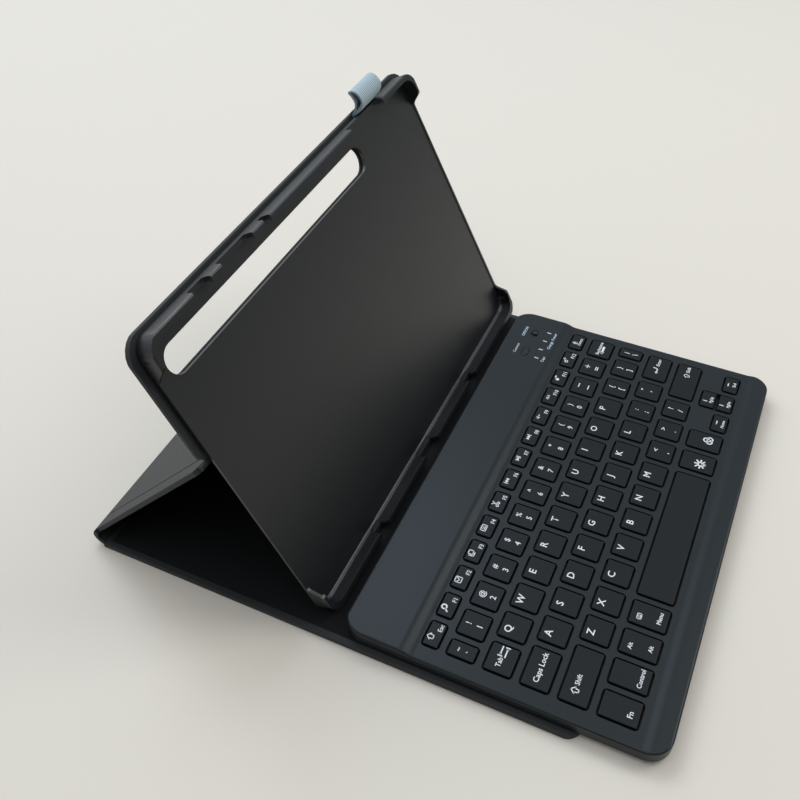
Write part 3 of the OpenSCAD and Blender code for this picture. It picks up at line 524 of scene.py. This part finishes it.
class Icon(Enum):
    """Plain marks, drawn in a square one unit wide.

    L is a line x0, y0, x1, y1; O a ring x, y, r; D a disc x, y, r; T a triangle x, y, r, turn.
    """

    HOME = "L -.45 .05 0 .48;L 0 .48 .45 .05;L -.28 .1 -.28 -.4;L .28 .1 .28 -.4;L -.28 -.4 .28 -.4"
    FIND = "O .08 .1 .3;L -.14 -.12 -.42 -.42"
    PAGE = (
        "L -.4 -.4 .4 -.4;L -.4 .4 .4 .4;L -.4 -.4 -.4 .4;L .4 -.4 .4 .4;L -.2 .05 -.02 -.15;"
        "L -.02 -.15 .25 .2"
    )
    COPY = (
        "L -.4 -.4 .2 -.4;L -.4 .2 -.4 -.4;L -.2 .4 .4 .4;L .4 .4 .4 -.2;L -.2 .4 -.2 -.2;"
        "L -.2 -.2 .4 -.2"
    )
    KEYS = (
        "L -.48 -.32 .48 -.32;L -.48 .32 .48 .32;L -.48 -.32 -.48 .32;L .48 -.32 .48 .32;"
        "D -.2 .1 .07;D 0 .1 .07;D .2 .1 .07;L -.2 -.12 .2 -.12"
    )
    CUT = "O -.24 -.3 .15;O .24 -.3 .15;L -.16 -.16 .22 .45;L .16 -.16 -.22 .45"
    LAST = "L -.45 -.25 -.45 .25;T -.15 0 .3 180;T .25 0 .3 180"
    PLAY = "T -.2 0 .34 0;L .15 -.25 .15 .25;L .36 -.25 .36 .25"
    NEXT = "L .45 -.25 .45 .25;T -.25 0 .3 0;T .15 0 .3 0"
    QUIET = "D -.25 0 .15;T -.12 0 .32 180;L .25 0 .45 0"
    LOUD = "D -.25 0 .15;T -.12 0 .32 180;L .22 0 .48 0;L .35 -.13 .35 .13"
    DIM = "D -.1 -.08 .26;L .22 .3 .48 .3"
    BRIGHT = "O -.1 -.08 .22;L .2 .3 .5 .3;L .35 .15 .35 .45"
    MIC = (
        "D 0 .22 .17;D 0 .05 .17;L -.28 .02 -.2 -.2;L .28 .02 .2 -.2;L -.2 -.2 .2 -.2;"
        "L 0 -.2 0 -.45;L -.2 -.45 .2 -.45"
    )
    UP_ARROW = (
        "L -.42 .02 0 .46;L 0 .46 .42 .02;L .42 .02 .2 .02;L .2 .02 .2 -.42;L .2 -.42 -.2 -.42;"
        "L -.2 -.42 -.2 .02;L -.2 .02 -.42 .02"
    )
    TABS = (
        "L -.5 .08 -.5 .42;L -.4 .25 .5 .25;T -.33 .25 .16 180;L .5 -.08 .5 -.42;"
        "L .4 -.25 -.5 -.25;T .33 -.25 .16 0"
    )
    RETURN = "L .4 .35 .4 -.1;L .4 -.1 -.25 -.1;T -.3 -.1 .22 180"
    LEFT = "L -.35 0 .45 0;T -.3 0 .22 180"
    RIGHT = "L .35 0 -.45 0;T .3 0 .22 0"
    UP = "L 0 .3 0 -.4;T 0 .28 .22 90"
    DOWN = "L 0 -.3 0 .4;T 0 -.28 .22 270"
    BULB = (
        "O 0 .0 .2;L -.09 -.22 -.09 -.42;L .09 -.22 .09 -.42;L -.09 -.42 .09 -.42;L 0 .3 0 .46;"
        "L .22 .22 .34 .34;L -.22 .22 -.34 .34;L .3 0 .46 0;L -.3 0 -.46 0;L -.24 -.2 -.34 -.3;"
        "L .24 -.2 .34 -.3"
    )
    PLUS = "L -.42 0 .42 0;L 0 -.42 0 .42"
    EQUALS = "L -.42 .18 .42 .18;L -.42 -.18 .42 -.18"
    BAR = "L -.5 0 .5 0"
    RINGS = "O 0 .18 .26;O -.18 -.14 .26;O .18 -.14 .26"

    def drawn(self, wide: float) -> bmesh.types.BMesh:
        """Draws the mark with its strokes, centred on the origin.

        Args:
            wide: Its width in metres.

        Returns:
            The flat mesh.
        """
        bm = bmesh.new()
        strokes = self.value.split(";")
        half = BROAD_STROKE if len(strokes) <= FEW_STROKES else FINE_STROKE
        for stroke in strokes:
            kind, *numbers = stroke.split()
            values = [float(number) for number in numbers]
            if kind == "L":
                self._line(bm, half, *values)
            elif kind == "O":
                self._ring(bm, half, *values)
            elif kind == "D":
                self._disc(bm, 16, *values)
            else:
                self._disc(bm, 3, *values)
        bmesh.ops.scale(bm, vec=(wide, wide, 1), verts=bm.verts)
        return bm

    @staticmethod
    def _line(
        bm: bmesh.types.BMesh, half: float, x0: float, y0: float, x1: float, y1: float
    ) -> None:
        """Draws a straight stroke with square ends.

        Args:
            bm: The mark's mesh.
            half: Half the stroke's width.
            x0: Where it starts, across.
            y0: Where it starts, up.
            x1: Where it ends, across.
            y1: Where it ends, up.
        """
        start, end = Vector((x0, y0, 0)), Vector((x1, y1, 0))
        along = end - start
        turn = Matrix.Rotation(math.atan2(along.y, along.x), 4, "Z")
        size = Matrix.Diagonal((along.length / 2 + half, half, 1, 1))
        spot = Matrix.Translation((start + end) / 2)
        bmesh.ops.create_grid(bm, x_segments=1, y_segments=1, size=1, matrix=spot @ turn @ size)

    @staticmethod
    def _ring(bm: bmesh.types.BMesh, half: float, x: float, y: float, radius: float) -> None:
        """Draws a ring.

        Args:
            bm: The mark's mesh.
            half: Half the stroke's width.
            x: Its centre, across.
            y: Its centre, up.
            radius: The radius of the stroke's middle.
        """
        spot = Matrix.Translation((x, y, 0))
        rims = [
            bmesh.ops.create_circle(bm, segments=20, radius=radius + side, matrix=spot)["verts"]
            for side in (half, -half)
        ]
        edges = dict.fromkeys(edge for rim in rims for vert in rim for edge in vert.link_edges)
        bmesh.ops.bridge_loops(bm, edges=list(edges))

    @staticmethod
    def _disc(
        bm: bmesh.types.BMesh, corners: int, x: float, y: float, radius: float, turn: float = 90
    ) -> None:
        """Draws a filled disc or triangle.

        Args:
            bm: The mark's mesh.
            corners: Its corners; 3 make a triangle.
            x: Its centre, across.
            y: Its centre, up.
            radius: Its radius.
            turn: Where the triangle points, in degrees from the right; 90 leaves a disc as it is.
        """
        spot = Matrix.Translation((x, y, 0)) @ Matrix.Rotation(math.radians(turn - 90), 4, "Z")
        bmesh.ops.create_circle(bm, cap_ends=True, segments=corners, radius=radius, matrix=spot)


@dataclass(frozen=True)
class Mark:
    """One printed mark on a key or on the case.

    Attributes:
        what: The letters, or the icon.
        high: The height of a capital, or the icon's width, in millimetres.
        across: Its centre's share of the key's width from the left.
        back: Its centre's share of the key's depth from the rear.
    """

    what: str | Icon
    high: float
    across: float
    back: float

    def drawn(self) -> bmesh.types.BMesh:
        """Draws the mark.

        Returns:
            Its flat mesh, centred on the origin.
        """
        if isinstance(self.what, Icon):
            return self.what.drawn(self.high * MM)
        return lettering(self.what, self.high * MM)


def printed(
    name: str,
    marks: Iterable[tuple[Mark, Vector]],
    body: str,
    lift: float,
    finish: Finish = PRINT,
) -> bpy.types.Object:
    """Joins printed marks into one flat piece.

    Args:
        name: The piece's name.
        marks: Each mark with the place of its centre.
        body: The body that it rides on.
        lift: The height of the ink above the surface in metres.
        finish: The ink.

    Returns:
        The new piece.
    """
    whole = bmesh.new()
    for mark, spot in marks:
        part = mark.drawn()
        bmesh.ops.translate(part, vec=spot + Vector((0, 0, lift)), verts=part.verts)
        loose = bpy.data.meshes.new("part")
        part.to_mesh(loose)
        part.free()
        whole.from_mesh(loose)
        bpy.data.meshes.remove(loose)
    for face in whole.faces:
        if face.normal.z < 0:
            face.normal_flip()
    return place(name, whole, finish, body)


@dataclass
class CoverPanels:
    """The leather-covered base, kickstand and back panel, and the folds between them.

    Attributes:
        lining_edge_mm: The rounding of the linings' edges.
        fold_edge_mm: The rounding of the folds' edges.
        lap_mm: How far before its upper end the rear fold would lap the kickstand; not used.
        base: The base's body.
        stand: The kickstand's body.
        back: The body of the back panel and the tray.
    """

    lining_edge_mm: float = 0.15
    fold_edge_mm: float = 0.25
    lap_mm: float = 1.6
    base: str = "cover_base"
    stand: str = "kickstand"
    back: str = "tray_and_back_panel"

    def build(self) -> None:
        """Dresses the three panels, their linings, boards and folds."""
        dressed("base_outer_leather", LEATHER, self.base, 0)
        dressed("kickstand_outer_leather", LEATHER, self.stand, 0)
        dressed("back_panel_leather", LEATHER, self.back, 0)
        # The linings carry painted shade for the inside of the stand.
        dressed("base_lining", LINING_WITH_PAINTED_SHADE, self.base, self.lining_edge_mm)
        dressed("kickstand_lining", LINING_WITH_PAINTED_SHADE, self.stand, self.lining_edge_mm)
        paint(BOARD, "base_board", "kickstand_board", "back_panel_board")
        paint(MAGNET, "base_magnets")
        paint(GLUE, "adhesive_sheet")
        self.folds()

    def folds(self) -> None:
        """Makes the two bends of leather as pieces that ride on no body."""
        for node, joint, first, second in (
            ("rear_fold_leather", "rear_fold", self.base, self.stand),
            ("mid_fold_leather", "mid_fold", self.stand, self.back),
        ):
            # The folds get the leather with painted shade.
            piece = dressed(node, FOLD_LEATHER_PAINTED_SHADE, "", self.fold_edge_mm)
            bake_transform(piece)


@dataclass
class Tray:
    """The moulded tray that holds the tablet, and the elastic loop sewn to it.

    Attributes:
        body: The body that it rides on.
        origin_mm: The middle of the tray's lower edge, on its floor.
        tilt: The angle in degrees at which it stands.
        tray_edge_mm: The rounding of the tray's edges.
        loop_edge_mm: The rounding of the elastic's edges.
        pocket_half_mm: Half the pocket's width.
        wall_mm: The thickness of its lower wall.
        corner_mm: The radius of its corners.
        corner_steps: The steps round one corner.
        side_mm: How high up the side the foot runs out.
        side_share: What is left of its height there.
        foot_high_mm: The height of the sloping foot inside the lower wall.
        foot_out_mm: How far it reaches into the pocket, as the unit of its profile.
        root_mm: How deep it goes into floor and wall.
        profile: Its section from the floor up, in shares of its reach and of its height.
        strips_below_painted_shade: The strips of the profile that keep the tray's glossy finish;
            the strips above them are duller and carry painted shade.
        hard_angle: The angle in degrees past which its edges look hard.
        notch_mm: Its height under the openings of the lower wall.
        run_mm: How softly it comes down to them.
        notches_mm: Where the openings start and end.
    """

    body: str = "tray_and_back_panel"
    origin_mm: Point = (5.4, -1.1, 3.903)
    tilt: float = 63.5
    tray_edge_mm: float = 0.3
    loop_edge_mm: float = 0.2
    pocket_half_mm: float = 127.1
    wall_mm: float = 2.4
    corner_mm: float = 8.4
    corner_steps: int = 6
    side_mm: float = 12.0
    side_share: float = 0.3
    foot_high_mm: float = 5.6
    foot_out_mm: float = 2.6
    root_mm: float = 0.3
    profile: tuple[tuple[float, float], ...] = (
        (1.2, 0.0), (1.02, 0.03), (0.9, 0.1), (0.72, 0.28), (0.4, 0.6), (0.16, 0.86), (0.0, 1.0)
    )
    strips_below_painted_shade: int = 3
    hard_angle: float = 40.0
    notch_mm: float = 2.3
    run_mm: float = 1.6
    notches_mm: tuple[tuple[float, float], ...] = ((-74.5, -67.9), (-16.2, -1.4), (50.5, 57.1))

    def build(self) -> None:
        """Dresses the tray and makes its foot and the loop."""
        dressed("tablet_tray", TRAY, self.body, self.tray_edge_mm)
        self.foot()
        self.loop()

    def loop(self) -> None:
        """Dresses the elastic loop, with painted shade on the band's inner faces."""
        mesh = dressed("pen_loop", ELASTIC, self.body, self.loop_edge_mm).data
        mesh.materials.append(BAND_INSIDE_PAINTED_SHADE.material())
        middle = sum((vert.co for vert in mesh.vertices), Vector()) / len(mesh.vertices)
        # Faces that look into the loop's hollow, but not its sides, get the painted shade.
        for face in mesh.polygons:
            is_side = abs(face.normal.x) >= 0.5
            if not is_side and face.normal.dot(middle - face.center) > 0:
                face.material_index = 1

    def path(self) -> list[tuple[Vector, Vector, float]]:
        """Follows the pocket's lower edge from its left side round to its right side.

        Returns:
            Places, the directions into the pocket, and the foot's share of its full height.
        """
        half, low, radius = self.pocket_half_mm, self.wall_mm, self.corner_mm
        step = 90 / self.corner_steps
        angles = [math.radians(step * i) for i in range(self.corner_steps + 1)]
        turns = [Vector((-math.cos(angle), -math.sin(angle))) for angle in angles]
        middle = Vector((radius - half, low + radius))
        left = [(Vector((-half, self.side_mm)), Vector((1, 0)), self.side_share)]
        left += [(middle + radius * turn, -turn, 1.0) for turn in turns]
        right = [
            (Vector((-spot.x, spot.y)), Vector((-inward.x, inward.y)), share)
            for spot, inward, share in reversed(left)
        ]
        notch = self.notch_mm / self.foot_high_mm
        floor = []
        for start, end in self.notches_mm:
            for x, share in (
                (start - self.run_mm, 1.0),
                (start, notch),
                (end, notch),
                (end + self.run_mm, 1.0),
            ):
                floor.append((Vector((x, low)), Vector((0, 1)), share))
        return [*left, *floor, *right]

    def foot(self) -> None:
        """Fills the corner between the tray's floor and its lower wall with a sloping foot, with
        painted shade on its upper strips.
        """
        bm = bmesh.new()
        rings = []
        for spot, inward, share in self.path():
            high = self.foot_high_mm * share
            section = [(-self.root_mm, -self.root_mm)]
            section += [(self.foot_out_mm * out, high * up) for out, up in self.profile]
            rings.append(
                [
                    bm.verts.new(Vector((*(spot + out * inward), up)) * MM)
                    for out, up in section
                ]
            )
        for first, second in zip(rings, rings[1:]):
            for i in range(len(first)):
                j = (i + 1) % len(first)
                face = bm.faces.new((first[i], first[j], second[j], second[i]))
                # The strips above the lower ones get the duller plastic with painted shade.
                face.material_index = int(i > self.strips_below_painted_shade)
        bm.faces.new(rings[0])
        bm.faces.new(rings[-1])
        bmesh.ops.recalc_face_normals(bm, faces=bm.faces)
        turn = Matrix.Rotation(math.radians(self.tilt), 4, "X")
        stand = Matrix.Translation(Vector(self.origin_mm) * MM) @ turn
        bmesh.ops.transform(bm, matrix=stand, verts=bm.verts)
        smooth_by_angle(bm, self.hard_angle)
        made = place("tray_lower_cove", bm, TRAY, self.body)
        # The second finish is the painted shade of the foot's upper strips.
        made.data.materials.append(TRAY_WALL_PAINTED_SHADE.material())


def letter(text: str) -> tuple[Mark, ...]:
    """Lays out a letter key.

    Args:
        text: The letter.

    Returns:
        Its print, left of the middle and towards the rear.
    """
    return (Mark(text, 3.65, 0.36, 0.285),)


def pair(upper: str | Icon, lower: str | Icon) -> tuple[Mark, ...]:
    """Lays out a key with two characters.

    Args:
        upper: The one that shift gives.
        lower: The plain one.

    Returns:
        The print, one character behind the other.
    """
    return (Mark(upper, 2.9, 0.5, 0.28), Mark(lower, 3.0, 0.5, 0.69))


def function_key(icon: Icon, name: str) -> tuple[Mark, ...]:
    """Lays out a function key.

    Args:
        icon: What it does.
        name: Its name.

    Returns:
        The print, with the icon at the rear left and the name at the front right.
    """
    return (Mark(icon, 4.1, 0.36, 0.33), Mark(name, 2.25, 0.78, 0.7))


SHORTCUTS = (
    Icon.FIND, Icon.PAGE, Icon.COPY, Icon.KEYS, Icon.CUT, Icon.LAST,
    Icon.PLAY, Icon.NEXT, Icon.QUIET, Icon.LOUD, Icon.DIM, Icon.BRIGHT,
)
FUNCTION_KEYS = [function_key(icon, f"F{i + 1}") for i, icon in enumerate(SHORTCUTS)]
DIGITS = [pair(u, d) for u, d in zip("!@#$%^&*()", "1234567890")]
DIGITS += [pair(Icon.BAR, Icon.BAR), pair(Icon.PLUS, Icon.EQUALS)]

PRINTS: dict[str, list[tuple[Mark, ...]]] = {
    "esc_key": [(Mark(Icon.HOME, 3.68, 0.37, 0.32), Mark("Esc", 2.19, 0.79, 0.68))],
    "f1_to_f6_keys": FUNCTION_KEYS[:6],
    "f7_to_f12_keys": FUNCTION_KEYS[6:],
    "delete_key": [(Mark(Icon.MIC, 3.45, 0.4, 0.33), Mark("Delete", 1.73, 0.55, 0.7))],
    "grave_key": [(Mark("~", 2.76, 0.5, 0.33), Mark("`", 2.99, 0.5, 0.72))],
    "one_to_six_keys": DIGITS[:6],
    "seven_to_equals_keys": DIGITS[6:],
    "backspace_key": [(Mark("Backspace", 2.02, 0.53, 0.42), Mark(Icon.LEFT, 6.90, 0.45, 0.6))],
    "tab_key": [(Mark("Tab", 2.38, 0.38, 0.45), Mark(Icon.TABS, 5.06, 0.76, 0.48))],
    "q_to_y_keys": [letter(c) for c in "QWERTY"],
    "u_to_bracket_keys": [*(letter(c) for c in "UIOP"), pair("{", "["), pair("}", "]")],
    "backslash_key": [(Mark("|", 2.64, 0.5, 0.3), Mark("\\", 3.33, 0.5, 0.68))],
    "caps_lock_key": [(Mark("Caps Lock", 2.66, 0.53, 0.47),)],
    "a_to_g_keys": [letter(c) for c in "ASDFG"],
    "h_to_quote_keys": [*(letter(c) for c in "HJKL"), pair(":", ";"), pair('"', "'")],
    "enter_key": [(Mark(Icon.RETURN, 5.29, 0.4, 0.47), Mark("Enter", 2.05, 0.76, 0.47))],
    "left_shift_key": [(Mark(Icon.UP_ARROW, 4.14, 0.23, 0.44), Mark("Shift", 2.27, 0.42, 0.44))],
    "z_to_b_keys": [letter(c) for c in "ZXCVB"],
    "n_to_slash_keys": [letter("N"), letter("M"), pair("<", ","), pair(">", "."), pair("?", "/")],
    "right_shift_key": [(Mark(Icon.UP_ARROW, 3.91, 0.68, 0.46), Mark("Shift", 2.05, 0.86, 0.46))],
    "fn_key": [(Mark("Fn", 2.58, 0.42, 0.75),)],
    "control_key": [(Mark("Control", 2.19, 0.55, 0.75),)],
    "alt_key": [(Mark("Alt", 2.05, 0.36, 0.25), Mark("Alt", 2.05, 0.5, 0.76))],
    "meta_key": [(Mark(Icon.KEYS, 3.22, 0.36, 0.25), Mark("Menu", 2.19, 0.55, 0.76))],
    "light_key": [(Mark(Icon.BULB, 6.44, 0.44, 0.58),)],
    "colour_key": [(Mark(Icon.RINGS, 5.75, 0.6, 0.6),)],
    "left_key": [(Mark(Icon.LEFT, 2.99, 0.5, 0.3), Mark("Home", 1.73, 0.5, 0.7))],
    "up_key": [(Mark(Icon.UP, 2.99, 0.35, 0.3), Mark("PgUp", 1.73, 0.5, 0.7))],
    "down_key": [(Mark(Icon.DOWN, 2.99, 0.35, 0.3), Mark("PgDn", 1.73, 0.5, 0.7))],
    "right_key": [(Mark(Icon.RIGHT, 2.99, 0.5, 0.3), Mark("End", 1.73, 0.55, 0.7))],
}


@dataclass
class Keyboard:
    """The keyboard: its case, controls, keycaps and prints.

    Attributes:
        body: The body of its case.
        top_edge_mm: The rounding of the painted case's edges.
        bottom_edge_mm: The rounding of the bottom case's edges.
        cap_edge_mm: The rounding of the keycaps' edges.
        knob_edge_mm: The rounding of the power knob's edges.
        button_edge_mm: The rounding of the connect button's edges.
        ear_mm: How far a key's node reaches past its cap on either side.
        gap_mm: The gap between the caps in one row.
        ink_mm: The height of the ink above what it is printed on.
        words: Each small word with its height, its distance from the case's right side, and its
            place from front to rear.
    """

    body: str = "keyboard"
    top_edge_mm: float = 0.15
    bottom_edge_mm: float = 0.2
    cap_edge_mm: float = 0.12
    knob_edge_mm: float = 0.2
    button_edge_mm: float = 0.4
    ear_mm: float = 1.1
    gap_mm: float = 3.8
    ink_mm: float = 0.02
    words: tuple[tuple[str, float, float, float], ...] = (
        ("OFF/ON", 1.8, 18.8, -22.6),
        ("Connect", 1.75, 35.7, -22.6),
        ("Caps", 1.75, 39.5, -41.3),
        ("Charge", 1.85, 25.4, -41.3),
        ("Power", 1.85, 16.8, -41.3),
    )

    def build(self) -> None:
        """Dresses the case, the controls and the keys."""
        dressed("keyboard_top_case", CASE_PAINT, self.body, self.top_edge_mm)
        dressed("keyboard_bottom_case", CASE_PLASTIC, self.body, self.bottom_edge_mm)
        paint(STEEL, "key_support_plate", "charging_port", "case_screws")
        paint(DOME_RUBBER, "rubber_dome_sheet")
        paint(RUBBER, "keyboard_feet")
        paint(MAGNET, "keyboard_magnets")
        paint(SOLDER_MASK, "circuit_board")
        paint(FOIL, "battery")
        paint(LENS, "indicator_lenses")
        paint(CASE_PLASTIC, "switch_body")
        dressed("power_switch_knob", KNOB, "power_switch", self.knob_edge_mm)
        dressed("connect_button", CASE_PAINT, "connect_button_cap", self.button_edge_mm)
        self.labels()
        self.keys()

    def labels(self) -> None:
        """Prints the small words by the switch, the button and the lights."""
        _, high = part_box("keyboard_top_case")
        marks = [
            (Mark(word, size, 0, 0), Vector((high.x - x * MM, y * MM, high.z)))
            for word, size, x, y in self.words
        ]
        printed("print_case_words", marks, self.body, self.ink_mm * MM, CASE_PRINT)

    def keys(self) -> None:
        """Dresses every keycap node."""
        bodies = {n: b for b, ns in frame["record"]["behaviour"]["bodies"].items() for n in ns}
        for node in sorted(frame["nodes"]):
            if node.endswith(("_key", "_keys")):
                dressed(node, CAP_PLASTIC, bodies[node], self.cap_edge_mm)
                if node in PRINTS:
                    self.prints(node, bodies[node])

    def prints(self, node: str, body: str) -> None:
        """Prints the marks of one node's keys.

        Args:
            node: The keycaps' node.
            body: The body that they ride on.
        """
        low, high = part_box(node)
        keys = PRINTS[node]
        gap, ear = self.gap_mm * MM, self.ear_mm * MM
        wide = (high.x - low.x - 2 * ear - (len(keys) - 1) * gap) / len(keys)
        marks = []
        for i, key in enumerate(keys):
            left = low.x + ear + i * (wide + gap)
            for mark in key:
                x = left + mark.across * wide
                y = high.y - mark.back * (high.y - low.y)
                marks.append((mark, Vector((x, y, high.z))))
        printed(f"print_{node}", marks, body, self.ink_mm * MM)


@dataclass(frozen=True)
class Lamp:
    """One soft square lamp.

    Attributes:
        name: Its name.
        spot: Its place.
        target: The point that it faces.
        side: Its side in metres.
        watts: Its power.
        colour: The light's colour.
    """

    name: str
    spot: Point
    target: Point
    side: float
    watts: float
    colour: str = "#ffffff"

    def hang(self) -> None:
        """Puts the lamp in its place."""
        data = bpy.data.lights.new(self.name, "AREA")
        data.size = self.side
        data.energy = self.watts
        data.color = linear(self.colour)[:3]
        lamp = bpy.data.objects.new(self.name, data)
        aim = (Vector(self.target) - Vector(self.spot)).to_track_quat("-Z", "Y")
        lamp.matrix_world = Matrix.Translation(self.spot) @ aim.to_matrix().to_4x4()
        bpy.context.scene.collection.objects.link(lamp)


@dataclass
class Studio:
    """The camera, the lamps, the floor and the pale surroundings.

    Attributes:
        lens_mm: The camera's focal length.
        sensor_mm: The width of its film.
        nearest: The nearest distance that it sees, in metres.
        spot: Its place.
        ahead: Where it looks.
        above: What is up in its view.
        window: The direction that most of the sky's light comes from.
        dimmest: The sky's strength in its dark part.
        brightest: The sky's strength in the middle of the window.
        dark_from: The cosine of the angle to the window past which the sky is at its dimmest.
        sky: The sky's colour as a light.
        background: The sky's colour in the picture.
        floor_half: Half the floor's side in metres.
        floor_colour: Its colour.
        floor_roughness: Its roughness.
        lamps: The lamps.
    """

    lens_mm: float = 41.706
    sensor_mm: float = 36.0
    nearest: float = 0.01
    spot: Point = (-0.32718, -0.14257, 0.40621)
    ahead: Point = (0.6308, 0.3030, -0.7144)
    above: Point = (0.652, 0.291, 0.700)
    window: Point = (0.42, 0.76, 0.50)
    dimmest: float = 0.07
    brightest: float = 0.85
    dark_from: float = -0.4
    sky: str = "#e4ebf2"
    background: str = "#e6e8ea"
    floor_half: float = 4.0
    floor_colour: str = "#dfd8cc"
    floor_roughness: float = 0.7
    lamps: tuple[Lamp, ...] = (
        Lamp("rear_lamp", (0.6, 1.7, 1.5), (0.0, 0.0, 0.05), 1.6, 14),
        Lamp("front_right_lamp", (0.75, -0.85, 1.15), (0.05, 0.0, 0.03), 0.7, 6),
        Lamp("rear_right_lamp", (0.8, 0.75, 1.4), (-0.05, -0.02, 0.0), 0.8, 8, "#d4e5f7"),
        Lamp("top_lamp", (-0.4, -0.3, 1.9), (0.0, -0.05, 0.0), 1.8, 10),
    )

    def build(self) -> None:
        """Sets up the view and the light."""
        scene = bpy.context.scene
        scene.view_settings.view_transform = "Standard"
        self.camera(scene)
        self.world(scene)
        self.floor(scene)
        for lamp in self.lamps:
            lamp.hang()

    def camera(self, scene: bpy.types.Scene) -> None:
        """Places the camera.

        Args:
            scene: The scene that looks through it.
        """
        data = bpy.data.cameras.new("camera")
        data.lens = self.lens_mm
        data.sensor_width = self.sensor_mm
        data.clip_start = self.nearest
        eye = bpy.data.objects.new("camera", data)
        back = -Vector(self.ahead).normalized()
        right = Vector(self.above).cross(back).normalized()
        up = back.cross(right)
        turn = Matrix((right, up, back)).transposed().to_4x4()
        eye.matrix_world = Matrix.Translation(self.spot) @ turn
        scene.collection.objects.link(eye)
        scene.camera = eye

    def world(self, scene: bpy.types.Scene) -> None:
        """Makes soft light all round, and a pale background for the camera.

        Args:
            scene: The scene that it lights.
        """
        world = bpy.data.worlds.new("studio")
        world.use_nodes = True
        scene.world = world
        tree = world.node_tree
        tree.nodes.clear()
        rays = add(tree, "ShaderNodeLightPath")
        towards = add(
            tree,
            "ShaderNodeVectorMath",
            {0: add(tree, "ShaderNodeTexCoord").outputs["Generated"], 1: self.window},
            operation="DOT_PRODUCT",
        )
        strength = add(
            tree,
            "ShaderNodeMapRange",
            {
                "Value": towards.outputs["Value"],
                "From Min": self.dark_from,
                "From Max": 1.0,
                "To Min": self.dimmest,
                "To Max": self.brightest,
            },
        )
        soft = add(
            tree,
            "ShaderNodeBackground",
            {"Color": linear(self.sky), "Strength": strength.outputs["Result"]},
        )
        pale = add(
            tree,
            "ShaderNodeBackground",
            {"Color": linear(self.background), "Strength": 1.0},
        )
        mix = add(
            tree,
            "ShaderNodeMixShader",
            {0: rays.outputs["Is Camera Ray"], 1: soft.outputs[0], 2: pale.outputs[0]},
        )
        add(tree, "ShaderNodeOutputWorld", {"Surface": mix.outputs[0]})

    def floor(self, scene: bpy.types.Scene) -> None:
        """Lays a wide pale floor under the object.

        Args:
            scene: The scene that gets it.
        """
        bm = bmesh.new()
        bmesh.ops.create_grid(bm, x_segments=1, y_segments=1, size=self.floor_half)
        mesh = bpy.data.meshes.new("floor")
        bm.to_mesh(mesh)
        bm.free()
        finish = bpy.data.materials.new("pale_floor")
        finish.use_nodes = True
        shader = finish.node_tree.nodes["Principled BSDF"]
        shader.inputs["Base Color"].default_value = linear(self.floor_colour)
        shader.inputs["Roughness"].default_value = self.floor_roughness
        mesh.materials.append(finish)
        floor = bpy.data.objects.new("floor", mesh)
        scene.collection.objects.link(floor)


def main() -> None:
    """Builds the whole scene."""
    logging.basicConfig(level=logging.INFO, format="%(message)s")
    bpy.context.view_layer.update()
    Studio().build()
    CoverPanels().build()
    Tray().build()
    Keyboard().build()


if __name__ == "__main__":
    main()
